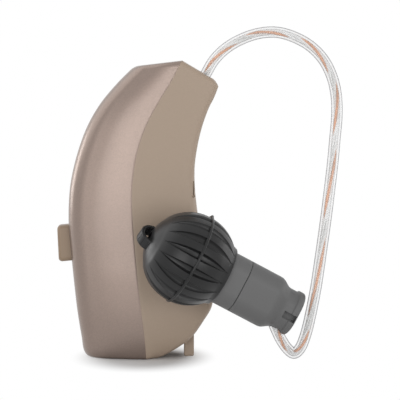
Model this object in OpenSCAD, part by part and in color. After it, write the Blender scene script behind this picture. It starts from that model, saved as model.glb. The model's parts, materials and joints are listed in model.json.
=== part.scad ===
// Behind the ear hearing aid with its speaker in the ear canal
// Origin: middle of the flat base in the symmetry plane. X runs from back to front, Z is up,
// and the ear unit hangs on the side of negative Y.

/* [Body] */
// Height of the body
body_h = 29.5; // [27:0.5:33]
// Depth of the body from back to front
body_d = 14.9; // [14:0.1:17]
// Width of the body across its two ridges
body_w = 7.8; // [7.4:0.1:9]
// Width across the corners of the back
back_w = 6.2; // [5.8:0.1:7]
// Width across the corners of the front
front_w = 6.2; // [6:0.1:7]
// Rounding of the back corners
back_r = 2; // [1.6:0.1:2.4]
// Rounding of the front corners
front_r = 0.8; // [0.6:0.1:0.9]
// Rounding round the base and the top
rim_r = 0.4; // [0.2:0.1:0.6]
// Wall of both shells
wall = 0.7; // [0.6:0.05:0.8]

/* [Battery and drawer] */
// Diameter of the button cell
cell_d = 7.9; // [7.5:0.1:8.1]
// Thickness of the button cell
cell_t = 3.6; // [3.2:0.1:3.7]
// Wall of the drawer that closes the front
door_t = 0.75; // [0.6:0.05:0.9]
// Width of the drawer
door_w = 4.4; // [4.2:0.1:4.5]
// Diameter of the hinge pin
pin_d = 0.8; // [0.6:0.1:0.9]
// Outer diameter of the drawer's knuckle
knuckle_d = 1.6; // [1.4:0.1:1.8]
// Width of the finger tab across the body
tab_w = 2.4; // [1.6:0.2:3]
// Depth of the finger tab from back to front
tab_d = 1; // [0.7:0.1:1.3]

/* [Push button] */
// Height of the push button
button_h = 3.6; // [3:0.2:4.2]
// Width of the push button
button_w = 2.2; // [1.8:0.1:2.4]
// How far the button stands out of the back
button_out = 1.15; // [0.9:0.05:1.4]
// Travel of the button when it is pressed
button_travel = 0.3; // [0.2:0.05:0.35]

/* [Ear wire] */
// Outer diameter of the clear tube
wire_d = 1.12; // [1:0.04:1.2]
// Bore of the clear tube
wire_bore = 0.62; // [0.6:0.02:0.66]
// How far forwards the wire reaches from the body's socket
wire_reach = 12.8; // [12:0.2:16]
// How far the wire drops from the socket to its lowest bend
wire_drop = 26.9; // [24:0.1:27]
// How far sideways the wire swings towards the head
wire_side = 7; // [7:0.2:9]
// Diameter of one lead inside the tube
lead_d = 0.25; // [0.2:0.01:0.26]
// Length of one full twist of the leads
lead_pitch = 5.8; // [5:0.2:8]

/* [Ear unit] */
// Diameter of the silicone dome
dome_d = 9; // [8.5:0.1:9.6]
// Wall of the silicone dome
dome_wall = 0.6; // [0.5:0.05:0.7]
// Number of ribs round the dome
rib_count = 18; // [12:2:24]
// Depth of the flutes between the ribs
flute_depth = 0.36; // [0.2:0.02:0.4]
// Width of the speaker housing
speaker_w = 5.3; // [5:0.1:5.6]
// Thickness of the speaker housing
speaker_t = 4.6; // [4.2:0.1:4.8]
// Wall of the speaker housing
speaker_wall = 0.45; // [0.4:0.05:0.5]
// Tilt of the speaker below level
speaker_tilt = 28.5; // [20:0.5:35]
// Turn of the speaker towards the head
speaker_yaw = 9; // [6:0.5:12]

/* [Hidden] */
$fn = 48;

// Overrun of every cut past the face that it goes through
over = 0.5;
// Fit of a turning or sliding piece, on each side
run_gap = 0.06;
// Fit of a piece that is seated and stays
seat_gap = 0.02;

// Side view of the body, from the base to the top, as shares of body_d and body_h:
// back line, ridge line, front line, and the share of the full width there
station_shares = [
    [[-0.191, 0.000], [0.174, 0.000], [0.262, 0.000], 0.86],
    [[-0.242, 0.025], [0.171, 0.027], [0.369, 0.031], 0.90],
    [[-0.265, 0.068], [0.164, 0.068], [0.470, 0.068], 0.94],
    [[-0.279, 0.112], [0.154, 0.115], [0.557, 0.129], 0.97],
    [[-0.295, 0.169], [0.141, 0.169], [0.611, 0.180], 0.99],
    [[-0.314, 0.258], [0.121, 0.258], [0.617, 0.247], 1.00],
    [[-0.332, 0.353], [0.104, 0.353], [0.577, 0.339], 1.00],
    [[-0.347, 0.447], [0.090, 0.447], [0.527, 0.441], 1.00],
    [[-0.344, 0.536], [0.082, 0.542], [0.498, 0.549], 1.00],
    [[-0.326, 0.610], [0.094, 0.627], [0.494, 0.637], 0.99],
    [[-0.282, 0.698], [0.124, 0.708], [0.510, 0.705], 0.98],
    [[-0.218, 0.783], [0.185, 0.793], [0.540, 0.773], 0.97],
    [[-0.131, 0.858], [0.265, 0.868], [0.584, 0.837], 0.95],
    [[-0.020, 0.925], [0.342, 0.932], [0.624, 0.878], 0.93],
    [[0.067, 0.969], [0.393, 0.982], [0.652, 0.914], 0.91]
];
last_station = len(station_shares) - 1;
// The two sloping planes of the top, as the same shares
top_back_share = [0.091, 0.981];
top_ridge_share = [0.409, 1.000];
top_front_share = [0.641, 0.931];
// Rings that the loft makes between two stations
rings_per_station = 2;
// Angle at which a corner's arc runs into the facet beside it
corner_end = 80;
corner_steps = 4;

// Stations along the body where pieces sit
hinge_station = 8;
cell_station = 4.45;
button_station = 6.35;
rear_mic_station = 10.2;
front_mic_station = 12.6;
board_high_station = 11.2;
chassis_high_station = 12.9;
// Lower ends at the back and at the front
chassis_low_stations = [7.25, 8.6];
board_low_stations = [7.85, 9];
switch_low_station = 5.8;
switch_high_station = 7.1;

// Route of the ear wire from the socket's mouth to the speaker, as shares of
// wire_reach, wire_side and wire_drop
route_shares = [
    [0.069, 0.015, 0.055], [0.170, 0.050, 0.101], [0.295, 0.105, 0.134],
    [0.427, 0.165, 0.153], [0.560, 0.230, 0.155], [0.692, 0.300, 0.136],
    [0.809, 0.370, 0.103], [0.903, 0.440, 0.055], [0.965, 0.500, -0.005],
    [0.996, 0.560, -0.072], [1.000, 0.620, -0.146], [0.984, 0.680, -0.228],
    [0.965, 0.735, -0.320], [0.938, 0.790, -0.424], [0.910, 0.845, -0.525],
    [0.875, 0.900, -0.640], [0.836, 0.945, -0.762], [0.793, 0.975, -0.866],
    [0.758, 0.985, -0.933], [0.719, 0.985, -0.980], [0.669, 0.985, -1.000],
    [0.614, 0.985, -0.980], [0.567, 0.985, -0.946], [0.536, 0.985, -0.915],
    [0.513, 0.985, -0.889]
];
tube_rings = 78;
lead_rings = 96;
// Distance of a lead's middle from the middle of the tube
lead_offset_share = 0.6;
lead_offset = lead_d * lead_offset_share;

// Points between

function mix(a, b, t) = a + (b - a) * t;
function unit(v) = v / norm(v);
function spline(table, u) =
    let (
        n = len(table) - 1,
        i = max(0, min(floor(u), n - 1)),
        t = u - i,
        a = table[max(i - 1, 0)],
        b = table[i],
        c = table[i + 1],
        d = table[min(i + 2, n)]
    )
    0.5 * (2 * b + (c - a) * t + (2 * a - 5 * b + 4 * c - d) * t * t
        + (3 * b - a - 3 * c + d) * t * t * t);

function to_side(shares) = [shares[0] * body_d, shares[1] * body_h];
back_line = [for (s = station_shares) to_side(s[0])];
ridge_line = [for (s = station_shares) to_side(s[1])];
front_line = [for (s = station_shares) to_side(s[2])];
width_line = [for (s = station_shares) [s[3]]];
function back_at(u) = spline(back_line, u);
function ridge_at(u) = spline(ridge_line, u);
function front_at(u) = spline(front_line, u);
function width_share_at(u) = spline(width_line, u)[0];
// A point that lies the given distance in from the back or the front along a station
function from_back(u, depth) = back_at(u) + unit(ridge_at(u) - back_at(u)) * depth;
function from_front(u, depth) = front_at(u) + unit(ridge_at(u) - front_at(u)) * depth;
// Slope of the back line, in degrees from level
slope_step = 0.1;
function back_slope(u) =
    let (d = back_at(u + slope_step) - back_at(u - slope_step))
    atan2(d[1], d[0]);

top_back = to_side(top_back_share);
top_ridge = to_side(top_ridge_share);
top_front = to_side(top_front_share);
top_front_run = unit(top_front - top_ridge);
// Out of the sloping front plane of the top, where the ear wire leaves
mouth_out = [-top_front_run[1], top_front_run[0]];
mouth_share = 0.68;
mouth = mix(top_ridge, top_front, mouth_share);

// Half of one ring of the body's skin, from ridge to ridge round one end.
// end is the back or front point, ridge the point on the ridge line, in the side view.
function half_ring(end, ridge, ridge_half, end_half, r, inset) =
    let (
        along = unit(ridge - end),
        tip = end + along * inset,
        rr = max(r - inset, rim_r / 4),
        wide = end_half - inset,
        arc = [
            for (k = [0:corner_steps])
                let (a = corner_end * (1 - k / corner_steps))
                [rr - rr * cos(a), wide - rr + rr * sin(a)]
        ],
        near = [for (p = arc) concat(tip + along * p[0], [-p[1]])],
        top_y = ridge_half - inset
    )
    concat(
        [[ridge[0], -top_y, ridge[1]]],
        [for (p = near) [p[0], p[2], p[1]]],
        [for (k = [len(near) - 1:-1:0]) [near[k][0], -near[k][2], near[k][1]]],
        [[ridge[0], top_y, ridge[1]]]
    );

// One ring of a shell at station u. side is 0 for the back and 1 for the front.
function shell_ring(side, end, ridge, share, inset) =
    half_ring(
        end,
        ridge,
        body_w / 2 * share,
        (side == 0 ? back_w : front_w) / 2 * share,
        side == 0 ? back_r : front_r,
        inset
    );
function station_ring(side, u, inset) =
    shell_ring(
        side,
        side == 0 ? back_at(u) : front_at(u),
        ridge_at(u),
        width_share_at(u),
        inset
    );
// A ring of the rounded rim at the top: t runs from 0 below the rim to 1 in the top plane
function top_ring(side, t) =
    let (
        end = mix(side == 0 ? back_at(last_station) : front_at(last_station),
            side == 0 ? top_back : top_front, sin(90 * t)),
        ridge = mix(ridge_at(last_station), top_ridge, sin(90 * t))
    )
    shell_ring(side, end, ridge, width_share_at(last_station),
        rim_r * (1 - cos(90 * t)));
// A ring of the rounded rim at the base
function base_ring(side, t) =
    let (u = 0.5 * (1 - cos(90 * t)))
    station_ring(side, u, rim_r * (1 - sin(90 * t)));

ring_total = last_station * rings_per_station;
// Places of the rings in the two rounded rims
base_rim_shares = [0, 0.5];
top_rim_shares = [0.4, 0.7, 1];
function outer_rings(side) =
    concat(
        [for (t = base_rim_shares) base_ring(side, t)],
        [for (k = [1:ring_total]) station_ring(side, k / rings_per_station, 0)],
        [for (t = top_rim_shares) top_ring(side, t)]
    );
ring_count = ring_total + len(base_rim_shares) + len(top_rim_shares);
// The inner skin starts above the floor and ends below the top
floor_station = 0.9;
ceiling_drop = 0.55;
ceiling_station = last_station - ceiling_drop;

function inner_rings(side) =
    [
        for (k = [0:ring_count - 1])
            station_ring(side, mix(floor_station, ceiling_station, k / (ring_count - 1)), wall)
    ];

// A half shell: outer skin, inner skin and the rim where the two shells meet
module half_shell(side) {
    outer = outer_rings(side);
    inner = inner_rings(side);
    m = len(outer[0]);
    n = ring_count;
    shift = m * n;
    points = concat([for (r = outer) each r], [for (r = inner) each r]);
    flip = side == 0;
    skin = [
        for (i = [0:n - 2], j = [0:m - 2]) each
            let (a = i * m + j, b = a + 1, c = a + m, d = c + 1)
            [[a, c, b], [b, c, d]]
    ];
    lining = [
        for (f = skin) [f[0] + shift, f[2] + shift, f[1] + shift]
    ];
    ends = concat(
        [[for (j = [0:m - 1]) j]],
        [[for (j = [m - 1:-1:0]) (n - 1) * m + j]],
        [[for (j = [m - 1:-1:0]) shift + j]],
        [[for (j = [0:m - 1]) shift + (n - 1) * m + j]]
    );
    near_rim = [
        for (i = [0:n - 2]) each
            let (a = i * m, b = a + m, c = a + shift, d = b + shift)
            [[a, d, b], [a, c, d]]
    ];
    far_rim = [
        for (i = [0:n - 2]) each
            let (a = i * m + m - 1, b = a + m, c = a + shift, d = b + shift)
            [[a, b, d], [a, d, c]]
    ];
    last = (n - 1) * m;
    top_rim = [
        [last, last + shift + m - 1, last + m - 1],
        [last, last + shift, last + shift + m - 1]
    ];
    base_rim = [[0, m - 1, shift + m - 1], [0, shift + m - 1, shift]];
    faces = concat(skin, lining, ends, near_rim, far_rim, top_rim, base_rim);
    polyhedron(
        points = points,
        faces = flip ? [for (f = faces) [for (k = [len(f) - 1:-1:0]) f[k]]] : faces,
        convexity = 6
    );
}

// Places in the body

// Puts its children at a point of the side view, turned by an angle in that view
module in_side(point, angle = 0) {
    translate([point[0], 0, point[1]]) rotate([0, -angle, 0]) children();
}
// A round piece whose axis runs across the body
module across(point, d, length, y = 0) {
    translate([point[0], y, point[1]]) rotate([90, 0, 0]) cylinder(d = d, h = length, center = true);
}
// A flat piece cut to an outline of the side view, between two widths
module plate(points, thickness, y = 0) {
    translate([0, y + thickness / 2, 0]) rotate([90, 0, 0]) linear_extrude(thickness) polygon(points);
}
// An outline that follows the body from its lower ends at the back and front up to a station
function outline(lows, high, back_depth, front_depth) =
    concat(
        [for (k = [0:outline_steps]) from_back(mix(lows[0], high, k / outline_steps), back_depth)],
        [
            for (k = [outline_steps:-1:0])
                from_front(mix(lows[1], high, k / outline_steps), front_depth)
        ]
    );
outline_steps = 8;

hinge = from_front(hinge_station, knuckle_d / 2);
cradle_wall = 0.45;
cell_seat = 0.05;
cell_centre = from_front(cell_station, door_t + cell_seat + cell_d / 2 + cradle_wall / 2);
opening_w = door_w + 2 * run_gap;
// Where the floor of the front housing ends and the drawer begins
floor_front_share = [0.268, 0];
floor_front = to_side(floor_front_share);
// Free room over the drawer's knuckle
knuckle_room = 0.35;

// Push button
button_centre = back_at(button_station);
button_flange = 0.35;
button_flange_out = 0.3;
button_corner = 0.35;
button_lean = 0.15;
button_post_d = 1;
// Gap that the button closes on the switch
switch_gap = button_travel + run_gap;
switch_t = 1;
switch_w = 2.6;
switch_h = 3;
plunger_d = 1.2;
plunger_t = 0.25;

// Microphones
mic_w = 2.5;
mic_h = 2.5;
mic_t = 1.1;
mic_port_d = 0.7;
seal_t = 0.3;
seal_lip = 0.15;
screen_t = 0.12;
screen_d = 1.3;
mic_depth = wall + screen_t + seal_t + seat_gap * 3;
mic_stations = [rear_mic_station, front_mic_station];

module at_mic(u) {
    in_side(from_back(u, 0), back_slope(u) - 90) children();
}

// Circuit board and what it carries
board_t = 0.5;
board_back = 2.6;
board_front = 1.9;
// Sizes of the chips as shares of body_d and body_h
chip_shares = [0.228, 0.142];
chip_w = body_d * chip_shares[0];
chip_h = body_h * chip_shares[1];
chip_t = 0.9;
radio_shares = [0.148, 0.0746];
radio_w = body_d * radio_shares[0];
radio_h = body_h * radio_shares[1];
radio_t = 0.6;
capacitor_w = 0.5;
capacitor_h = 1;
capacitor_t = 0.5;
capacitor_count = 4;
coil_d = 1.1;
coil_l = 4.6;

function board_mid(u, share) =
    mix(from_back(u, board_back), from_front(u, board_front), share);

// Chassis
chassis_w = 3.6;
chassis_back = 1.15;
chassis_front = 0.95;
chassis_rail = 0.7;
// Height of its lower and upper rails along the stations
rail_stations = 0.25;
ledge_t = 0.5;
ledge_lap = 0.5;
ledge_stations = 0.2;
bridge_h = 1.7;
bridge_drop = 2.3;
strut_w = 2.6;
strut_deep = 0.65;
arm_t = 0.55;
arm_w = 3;
contact_t = 0.15;

// Socket and plug of the ear wire, as depths below the sloping front plane of the top
plug_d = 1.5;
plug_l = 4;
socket_wall = 0.35;
socket_depth = 2.6;
socket_floor = 0.5;
socket_bore = plug_d + 2 * seat_gap;
socket_d = socket_bore + 2 * socket_wall;
collar_l = 1.2;
contact_pin_d = 0.3;
contact_pin_l = 0.4;
contact_ring = 0.42;
socket_end = plug_l + contact_pin_l + seat_gap + socket_floor;
lock_d = 0.6;
lock_depth = 3.3;
lock_groove = 0.2;
lock_reach = 1.95;

module at_mouth() {
    translate([mouth[0], 0, mouth[1]])
        rotate([0, atan2(mouth_out[0], mouth_out[1]), 0])
            children();
}

// Shells

module back_cover() {
    color([0.80, 0.73, 0.67]) difference() {
        half_shell(0);
        // Window of the push button
        at_button() rotate([0, 90, 0]) translate([0, 0, -2 * wall])
            linear_extrude(4 * wall)
                round_rect(button_h + 2 * run_gap, button_w + 2 * run_gap, button_corner + run_gap);
        // Microphone ports in the spine
        for (u = mic_stations)
            at_mic(u) rotate([0, 90, 0]) cylinder(d = mic_port_d, h = 4 * wall, center = true);
        // Window of the latch low on the back
        in_side(back_at(latch_station), back_slope(latch_station) - 90)
            cube([wall, latch_w, latch_h], center = true);
    }
}
latch_station = 3.6;
latch_w = 1.2;
latch_h = 0.4;

module front_housing() {
    color([0.64, 0.57, 0.50]) difference() {
        union() {
            difference() {
                half_shell(1);
                // Opening that the drawer closes, open at the front and below
                translate([floor_front[0], -opening_w / 2, -over])
                    cube([body_d, opening_w, hinge[1] + knuckle_d / 2 + knuckle_room + over]);
            }
            // Bosses that carry the ends of the hinge pin
            for (s = [-1, 1])
                across(hinge, pin_d + 2 * boss_wall, boss_l, s * (opening_w / 2 + boss_l / 2));
        }
        // Bore of the hinge pin, closed at both ends
        across(hinge, pin_d + 2 * seat_gap, pin_l + 2 * seat_gap);
        // Mouth of the ear wire's plug
        at_mouth() cylinder(d = socket_bore, h = 4 * wall, center = true);
        lock_hole();
        // Narrow slots in both front corners beside the drawer's knuckle, each with a round end
        for (s = [-1, 1]) {
            translate([slot_front[0] - hinge_slot_w, s > 0 ? hinge_slot_y : -front_w, hinge[1]])
                cube([hinge_slot_w, front_w - hinge_slot_y, hinge_slot_h]);
            across([slot_front[0] - hinge_slot_w / 2, hinge[1]], hinge_dot_d,
                front_w - hinge_slot_y, s * (front_w + hinge_slot_y) / 2);
        }
    }
}
// Slot: its width, height, how far it lies in from the front, and its inner end
hinge_slot_w = 0.14;
hinge_slot_h = 1.5;
hinge_slot_in = 0.09;
hinge_slot_wall = 0.14;
hinge_slot_y = opening_w / 2 + hinge_slot_wall;
hinge_dot_d = 0.3;
slot_front = from_front(hinge_station, hinge_slot_in);
boss_l = 0.35;
boss_wall = 0.25;
pin_l = opening_w + 2 * boss_l - 2 * seat_gap;
// Hole of the lock pin, from the plug out through the front edge
module lock_hole() {
    at_mouth() translate([0, 0, -lock_depth])
        rotate([0, 90, 0]) cylinder(d = lock_d + 2 * seat_gap, h = 2 * lock_reach);
}

// Inner frame that carries the electronics and the contacts

module chassis() {
    arm_out = arm_mid + arm_t / 2;
    bridge_z = back_at(chassis_low_stations[1])[1] - bridge_drop;
    color([0.30, 0.30, 0.32]) difference() {
        union() {
            // Frame round the electronics
            difference() {
                plate(outline(chassis_low_stations, chassis_high_station, chassis_back,
                    chassis_front), chassis_w);
                plate(outline([for (u = chassis_low_stations) u + rail_stations],
                    chassis_high_station - rail_stations, chassis_back + chassis_rail,
                    chassis_front + chassis_rail), chassis_w + 2 * over);
            }
            // Ledge that the edge of the board lies on
            difference() {
                plate(outline(chassis_low_stations, board_high_station, chassis_back,
                    chassis_front), ledge_t, ledge_y);
                plate(outline([for (u = board_low_stations) u + ledge_stations],
                    board_high_station - ledge_stations, board_back + ledge_lap,
                    board_front + ledge_lap), ledge_t + 2 * over, ledge_y);
            }
            // Strut behind the switch
            plate([
                from_back(switch_low_station, switch_end + seat_gap),
                from_back(switch_high_station, switch_end + seat_gap),
                from_back(chassis_low_stations[0] + rail_stations, chassis_back),
                from_back(chassis_low_stations[0] + rail_stations, switch_end + strut_deep),
                from_back(switch_low_station, switch_end + strut_deep)
            ], strut_w);
            // Arms beside the cell that hold its contacts, and the bridge that joins them
            for (s = [-1, 1])
                translate([cell_centre[0] - arm_w, s * arm_mid - arm_t / 2, cell_centre[1]])
                    cube([arm_w, arm_t, bridge_z + bridge_h - cell_centre[1]]);
            translate([cell_centre[0] - arm_w, -arm_out, bridge_z])
                cube([arm_w, 2 * arm_out, bridge_h]);
        }
        // Pockets of the microphones and their seals
        for (u = mic_stations)
            at_mic(u)
                translate([0, -mic_w / 2 - 2 * seat_gap, -mic_h / 2 - 2 * seat_gap])
                    cube([mic_depth + mic_t + 2 * seat_gap, mic_w + 4 * seat_gap,
                        mic_h + 4 * seat_gap]);
        // Seat of the wire's socket
        at_mouth() translate([0, 0, -socket_end - seat_gap])
            cylinder(d = socket_d + 2 * seat_gap, h = socket_end + over);
        lock_hole();
    }
}
ledge_y = board_t / 2 + seat_gap + ledge_t / 2;
arm_mid = cell_t / 2 + 2 * run_gap + contact_t + arm_t / 2 + seat_gap;

module circuit_board() {
    color([0.16, 0.36, 0.26])
        plate(outline(board_low_stations, board_high_station, board_back, board_front), board_t);
}

// Where the pieces sit on the board: station, and share of its width from the back
chip_place = [9.7, 0.36];
radio_place = [9.9, 0.8];
capacitor_station = 10.85;
module on_board(place, thickness) {
    p = board_mid(place[0], place[1]);
    translate([p[0], -board_t / 2 - thickness / 2, p[1]]) children();
}
module signal_processor() {
    color([0.12, 0.12, 0.13]) on_board(chip_place, chip_t)
        cube([chip_w, chip_t, chip_h], center = true);
}
module radio_chip() {
    color([0.18, 0.18, 0.20]) on_board(radio_place, radio_t)
        cube([radio_w, radio_t, radio_h], center = true);
}
module board_capacitors() {
    color([0.62, 0.50, 0.36])
        for (k = [0:capacitor_count - 1])
            on_board([capacitor_station, (k + 0.5) / capacitor_count], capacitor_t)
                cube([capacitor_w, capacitor_t, capacitor_h], center = true);
}

module microphone(u) {
    color([0.78, 0.78, 0.76]) at_mic(u)
        translate([mic_depth + mic_t / 2, 0, 0])
            difference() {
                cube([mic_t, mic_w, mic_h], center = true);
                translate([-mic_t / 2, 0, 0])
                    rotate([0, 90, 0]) cylinder(d = mic_port_d, h = mic_t / 2, center = true);
            }
}
module front_microphone() {
    microphone(front_mic_station);
}
module rear_microphone() {
    microphone(rear_mic_station);
}
module microphone_seals() {
    color([0.25, 0.25, 0.26])
        for (u = mic_stations)
            at_mic(u)
                translate([mic_depth - seat_gap - seal_t, 0, 0])
                    rotate([0, 90, 0]) difference() {
                        cylinder(d = mic_w - 2 * seal_lip, h = seal_t);
                        translate([0, 0, -over]) cylinder(d = mic_port_d, h = seal_t + 2 * over);
                    }
}
module microphone_screens() {
    color([0.55, 0.55, 0.56])
        for (u = mic_stations)
            at_mic(u)
                translate([mic_depth - 2 * seat_gap - seal_t - screen_t, 0, 0])
                    rotate([0, 90, 0]) cylinder(d = screen_d, h = screen_t);
}
module telecoil() {
    color([0.72, 0.42, 0.24]) {
        p = board_mid(chip_place[0], chip_place[1]);
        translate([p[0], board_t / 2 + seat_gap + coil_d / 2, p[1]])
            cylinder(d = coil_d, h = coil_l, center = true);
    }
}
module antenna() {
    color([0.80, 0.66, 0.36])
        plate(outline(antenna_low_stations, antenna_high_station, antenna_back, antenna_front),
            antenna_t, chassis_w / 2 + antenna_t / 2 + seat_gap);
}
antenna_low_stations = [8.6, 8.9];
antenna_high_station = 11.4;
antenna_t = 0.15;
antenna_back = 1.4;
antenna_front = 5.6;

// Push button and the switch behind it

module at_button() {
    in_side(button_centre, back_slope(button_station) - 90) children();
}
module push_button() {
    color([0.60, 0.54, 0.45]) at_button() {
        hull()
            for (y = [-1, 1], z = [-1, 1], x = [0, 1])
                translate([
                    x == 0 ? wall : -button_out + button_corner + (z < 0 ? button_lean : 0),
                    y * (button_w / 2 - button_corner),
                    z * (button_h / 2 - button_corner)
                ])
                    sphere(r = button_corner, $fn = 20);
        // Flange that keeps the button in its window
        translate([wall + button_corner, 0, 0])
            cube([button_flange, button_w + 2 * button_flange_out,
                button_h + 2 * button_flange_out], center = true);
        translate([wall + button_corner, 0, 0])
            rotate([0, 90, 0]) cylinder(d = button_post_d, h = post_l);
    }
}
post_l = 0.6;
switch_face = wall + button_corner + post_l + switch_gap;
switch_end = switch_face + plunger_t + switch_t;
module tactile_switch() {
    color([0.75, 0.75, 0.72]) at_button() {
        translate([switch_face, 0, 0]) rotate([0, 90, 0]) cylinder(d = plunger_d, h = plunger_t);
        translate([switch_face + plunger_t + switch_t / 2, 0, 0])
            cube([switch_t, switch_w, switch_h], center = true);
    }
}

// Battery and its drawer

door_low_station = 0.6;
tab_station = 1.85;
door_steps = 14;
function door_skin(depth) =
    [
        for (k = [0:door_steps])
            from_front(mix(door_low_station, hinge_station, k / door_steps), depth)
    ];
function reversed(list) = [for (k = [len(list) - 1:-1:0]) list[k]];
module battery_drawer() {
    tab_top = front_at(tab_station);
    color([0.58, 0.51, 0.44]) difference() {
        union() {
            // Curved wall that closes the front of the body
            plate(concat(door_skin(0), reversed(door_skin(door_t))), door_w);
            // Ring that the cell lies in
            across(cell_centre, cell_d + 2 * cell_seat + 2 * cradle_wall, cradle_w);
            // Web between the ring and the hinge
            plate([
                from_front(hinge_station, door_t / 2),
                from_front(hinge_station, knuckle_d),
                [cell_centre[0] + cell_d / 4, cell_centre[1] + cell_d / 2],
                from_front(cell_station + 1, door_t / 2)
            ], web_t);
            across(hinge, knuckle_d, door_w);
            // Finger tab
            translate([tab_top[0] - tab_d / 2, -tab_w / 2, tab_foot])
                cube([tab_d, tab_w, tab_top[1] + door_t / 2 - tab_foot]);
        }
        across(cell_centre, cell_d + 2 * cell_seat, door_w + 2 * over);
        across(hinge, pin_d + 2 * run_gap, door_w + 2 * over);
        // The ring is open at the back, so that a fingertip can push the cell out
        translate([cell_centre[0] - cell_d, 0, cell_centre[1]])
            cube([cell_d, cradle_w + 2 * over, cell_d / 2], center = true);
    }
}
cradle_w = 3;
web_t = 1;
tab_foot = 0.03;

module hinge_pin() {
    color([0.76, 0.76, 0.78]) across(hinge, pin_d, pin_l);
}

cap_inset = 0.75;
cap_d = cell_d - 2 * cap_inset;
cap_t = 0.5;
can_floor = 0.3;
can_wall = 0.15;
seal_ring_t = 0.45;
hole_d = 0.5;
hole_circle_share = 0.405;
hole_circle = cell_d * hole_circle_share;
hole_count = 4;
module battery_can() {
    color([0.80, 0.80, 0.80])
        translate([cell_centre[0], cell_t / 2, cell_centre[1]]) rotate([90, 0, 0]) difference() {
            cylinder(d = cell_d, h = cell_t - cap_t);
            // Room of the zinc paste
            translate([0, 0, can_floor])
                cylinder(d = cap_d + 2 * seal_ring_t - 2 * can_wall, h = cell_t);
            // Seat of the seal and the cap
            translate([0, 0, cell_t - 2 * cap_t])
                cylinder(d = cap_d + 2 * seal_ring_t, h = cap_t + over);
            // Air holes of the positive face
            for (k = [0:hole_count - 1])
                rotate([0, 0, 360 / hole_count * k])
                    translate([hole_circle / 2, 0, -over])
                        cylinder(d = hole_d, h = over + can_floor / 2);
        }
}
module zinc_paste() {
    color([0.45, 0.46, 0.48])
        translate([cell_centre[0], cell_t / 2 - can_floor - seat_gap, cell_centre[1]])
            rotate([90, 0, 0])
                cylinder(d = cap_d + 2 * seal_ring_t - 2 * can_wall - 2 * seat_gap,
                    h = cell_t - 2 * cap_t - can_floor - 2 * seat_gap);
}
module battery_seal() {
    color([0.20, 0.35, 0.60])
        translate([cell_centre[0], -cell_t / 2 + 2 * cap_t, cell_centre[1]]) rotate([90, 0, 0])
            difference() {
                cylinder(d = cap_d + 2 * seal_ring_t - 2 * seat_gap, h = cap_t + cap_t / 2);
                translate([0, 0, -over]) cylinder(d = cap_d + seat_gap, h = 3 * cap_t + over);
            }
}
module battery_cap() {
    color([0.72, 0.72, 0.74])
        translate([cell_centre[0], -cell_t / 2 + 2 * cap_t, cell_centre[1]]) rotate([90, 0, 0])
            cylinder(d = cap_d, h = 2 * cap_t);
}

// A leaf spring that presses on one face of the cell
module leaf(side) {
    y = side * (cell_t / 2 + 2 * run_gap + contact_t / 2);
    translate([cell_centre[0] - leaf_w / 2 - leaf_w, y - contact_t / 2, cell_centre[1] - leaf_w / 2])
        cube([leaf_w, contact_t, leaf_l]);
}
leaf_w = 1.2;
leaf_l = 6.5;
module positive_contact() {
    color([0.85, 0.72, 0.40]) leaf(1);
}
module negative_contact() {
    color([0.85, 0.72, 0.40]) leaf(-1);
}

// Socket, plug and lock pin at the top

module wire_socket() {
    color([0.22, 0.22, 0.24]) difference() {
        at_mouth() difference() {
            translate([0, 0, -socket_end]) cylinder(d = socket_d, h = socket_end - socket_depth);
            translate([0, 0, socket_floor - socket_end])
                cylinder(d = socket_bore, h = socket_end + over);
        }
        lock_hole();
    }
}
module wire_plug() {
    color([0.52, 0.50, 0.48]) at_mouth() difference() {
        translate([0, 0, -plug_l]) cylinder(d = plug_d, h = plug_l);
        translate([0, 0, -collar_l]) cylinder(d = wire_d + 2 * seat_gap, h = 2 * plug_l);
        // Groove that the lock pin reaches into
        translate([0, 0, -lock_depth]) difference() {
            cylinder(d = plug_d + over, h = lock_d + 4 * seat_gap, center = true);
            cylinder(d = plug_d - 2 * lock_groove, h = lock_d + over, center = true);
        }
    }
}
module plug_contacts() {
    color([0.86, 0.74, 0.42]) at_mouth()
        for (k = [0:2])
            rotate([0, 0, 120 * k])
                translate([contact_ring, 0, -plug_l - contact_pin_l])
                    cylinder(d = contact_pin_d, h = contact_pin_l);
}
module lock_pin() {
    pin_start = plug_d / 2 - lock_groove + run_gap;
    color([0.45, 0.45, 0.47]) at_mouth() translate([pin_start, 0, -lock_depth])
        rotate([0, 90, 0]) cylinder(d = lock_d, h = lock_reach - pin_start);
}

// Ear wire

mouth_3d = [mouth[0], 0, mouth[1]];
out_3d = [mouth_out[0], 0, mouth_out[1]];
route = concat(
    [mouth_3d - out_3d * (collar_l - seat_gap), mouth_3d],
    [
        for (s = route_shares)
            mouth_3d + [s[0] * wire_reach, -s[1] * wire_side, s[2] * wire_drop]
    ]
);
route_last = len(route) - 1;
wire_end = route[route_last];
function route_at(t) = spline(route, t * route_last);
route_step = 0.002;
function route_run(t) =
    unit(route_at(min(t + route_step, 1)) - route_at(max(t - route_step, 0)));
// Two directions square to the route
function route_side(t) = unit(cross([0, 1, 0], route_run(t)));
function route_up(t) = cross(route_run(t), route_side(t));
function route_ring(t, r, sides, turn = 0) =
    [
        for (k = [0:sides - 1])
            route_at(t) + route_side(t) * r * cos(360 * k / sides + turn)
                + route_up(t) * r * sin(360 * k / sides + turn)
    ];
// A closed tube through a list of rings
module skin_rings(rings) {
    m = len(rings[0]);
    n = len(rings);
    polyhedron(
        points = [for (r = rings) each r],
        faces = concat(
            [[for (j = [0:m - 1]) j]],
            [
                for (i = [0:n - 2], j = [0:m - 1]) each
                    let (a = i * m + j, b = i * m + (j + 1) % m, c = a + m, d = b + m)
                    [[a, c, b], [b, c, d]]
            ],
            [[for (j = [m - 1:-1:0]) (n - 1) * m + j]]
        ),
        convexity = 10
    );
}
tube_sides = 10;
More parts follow.
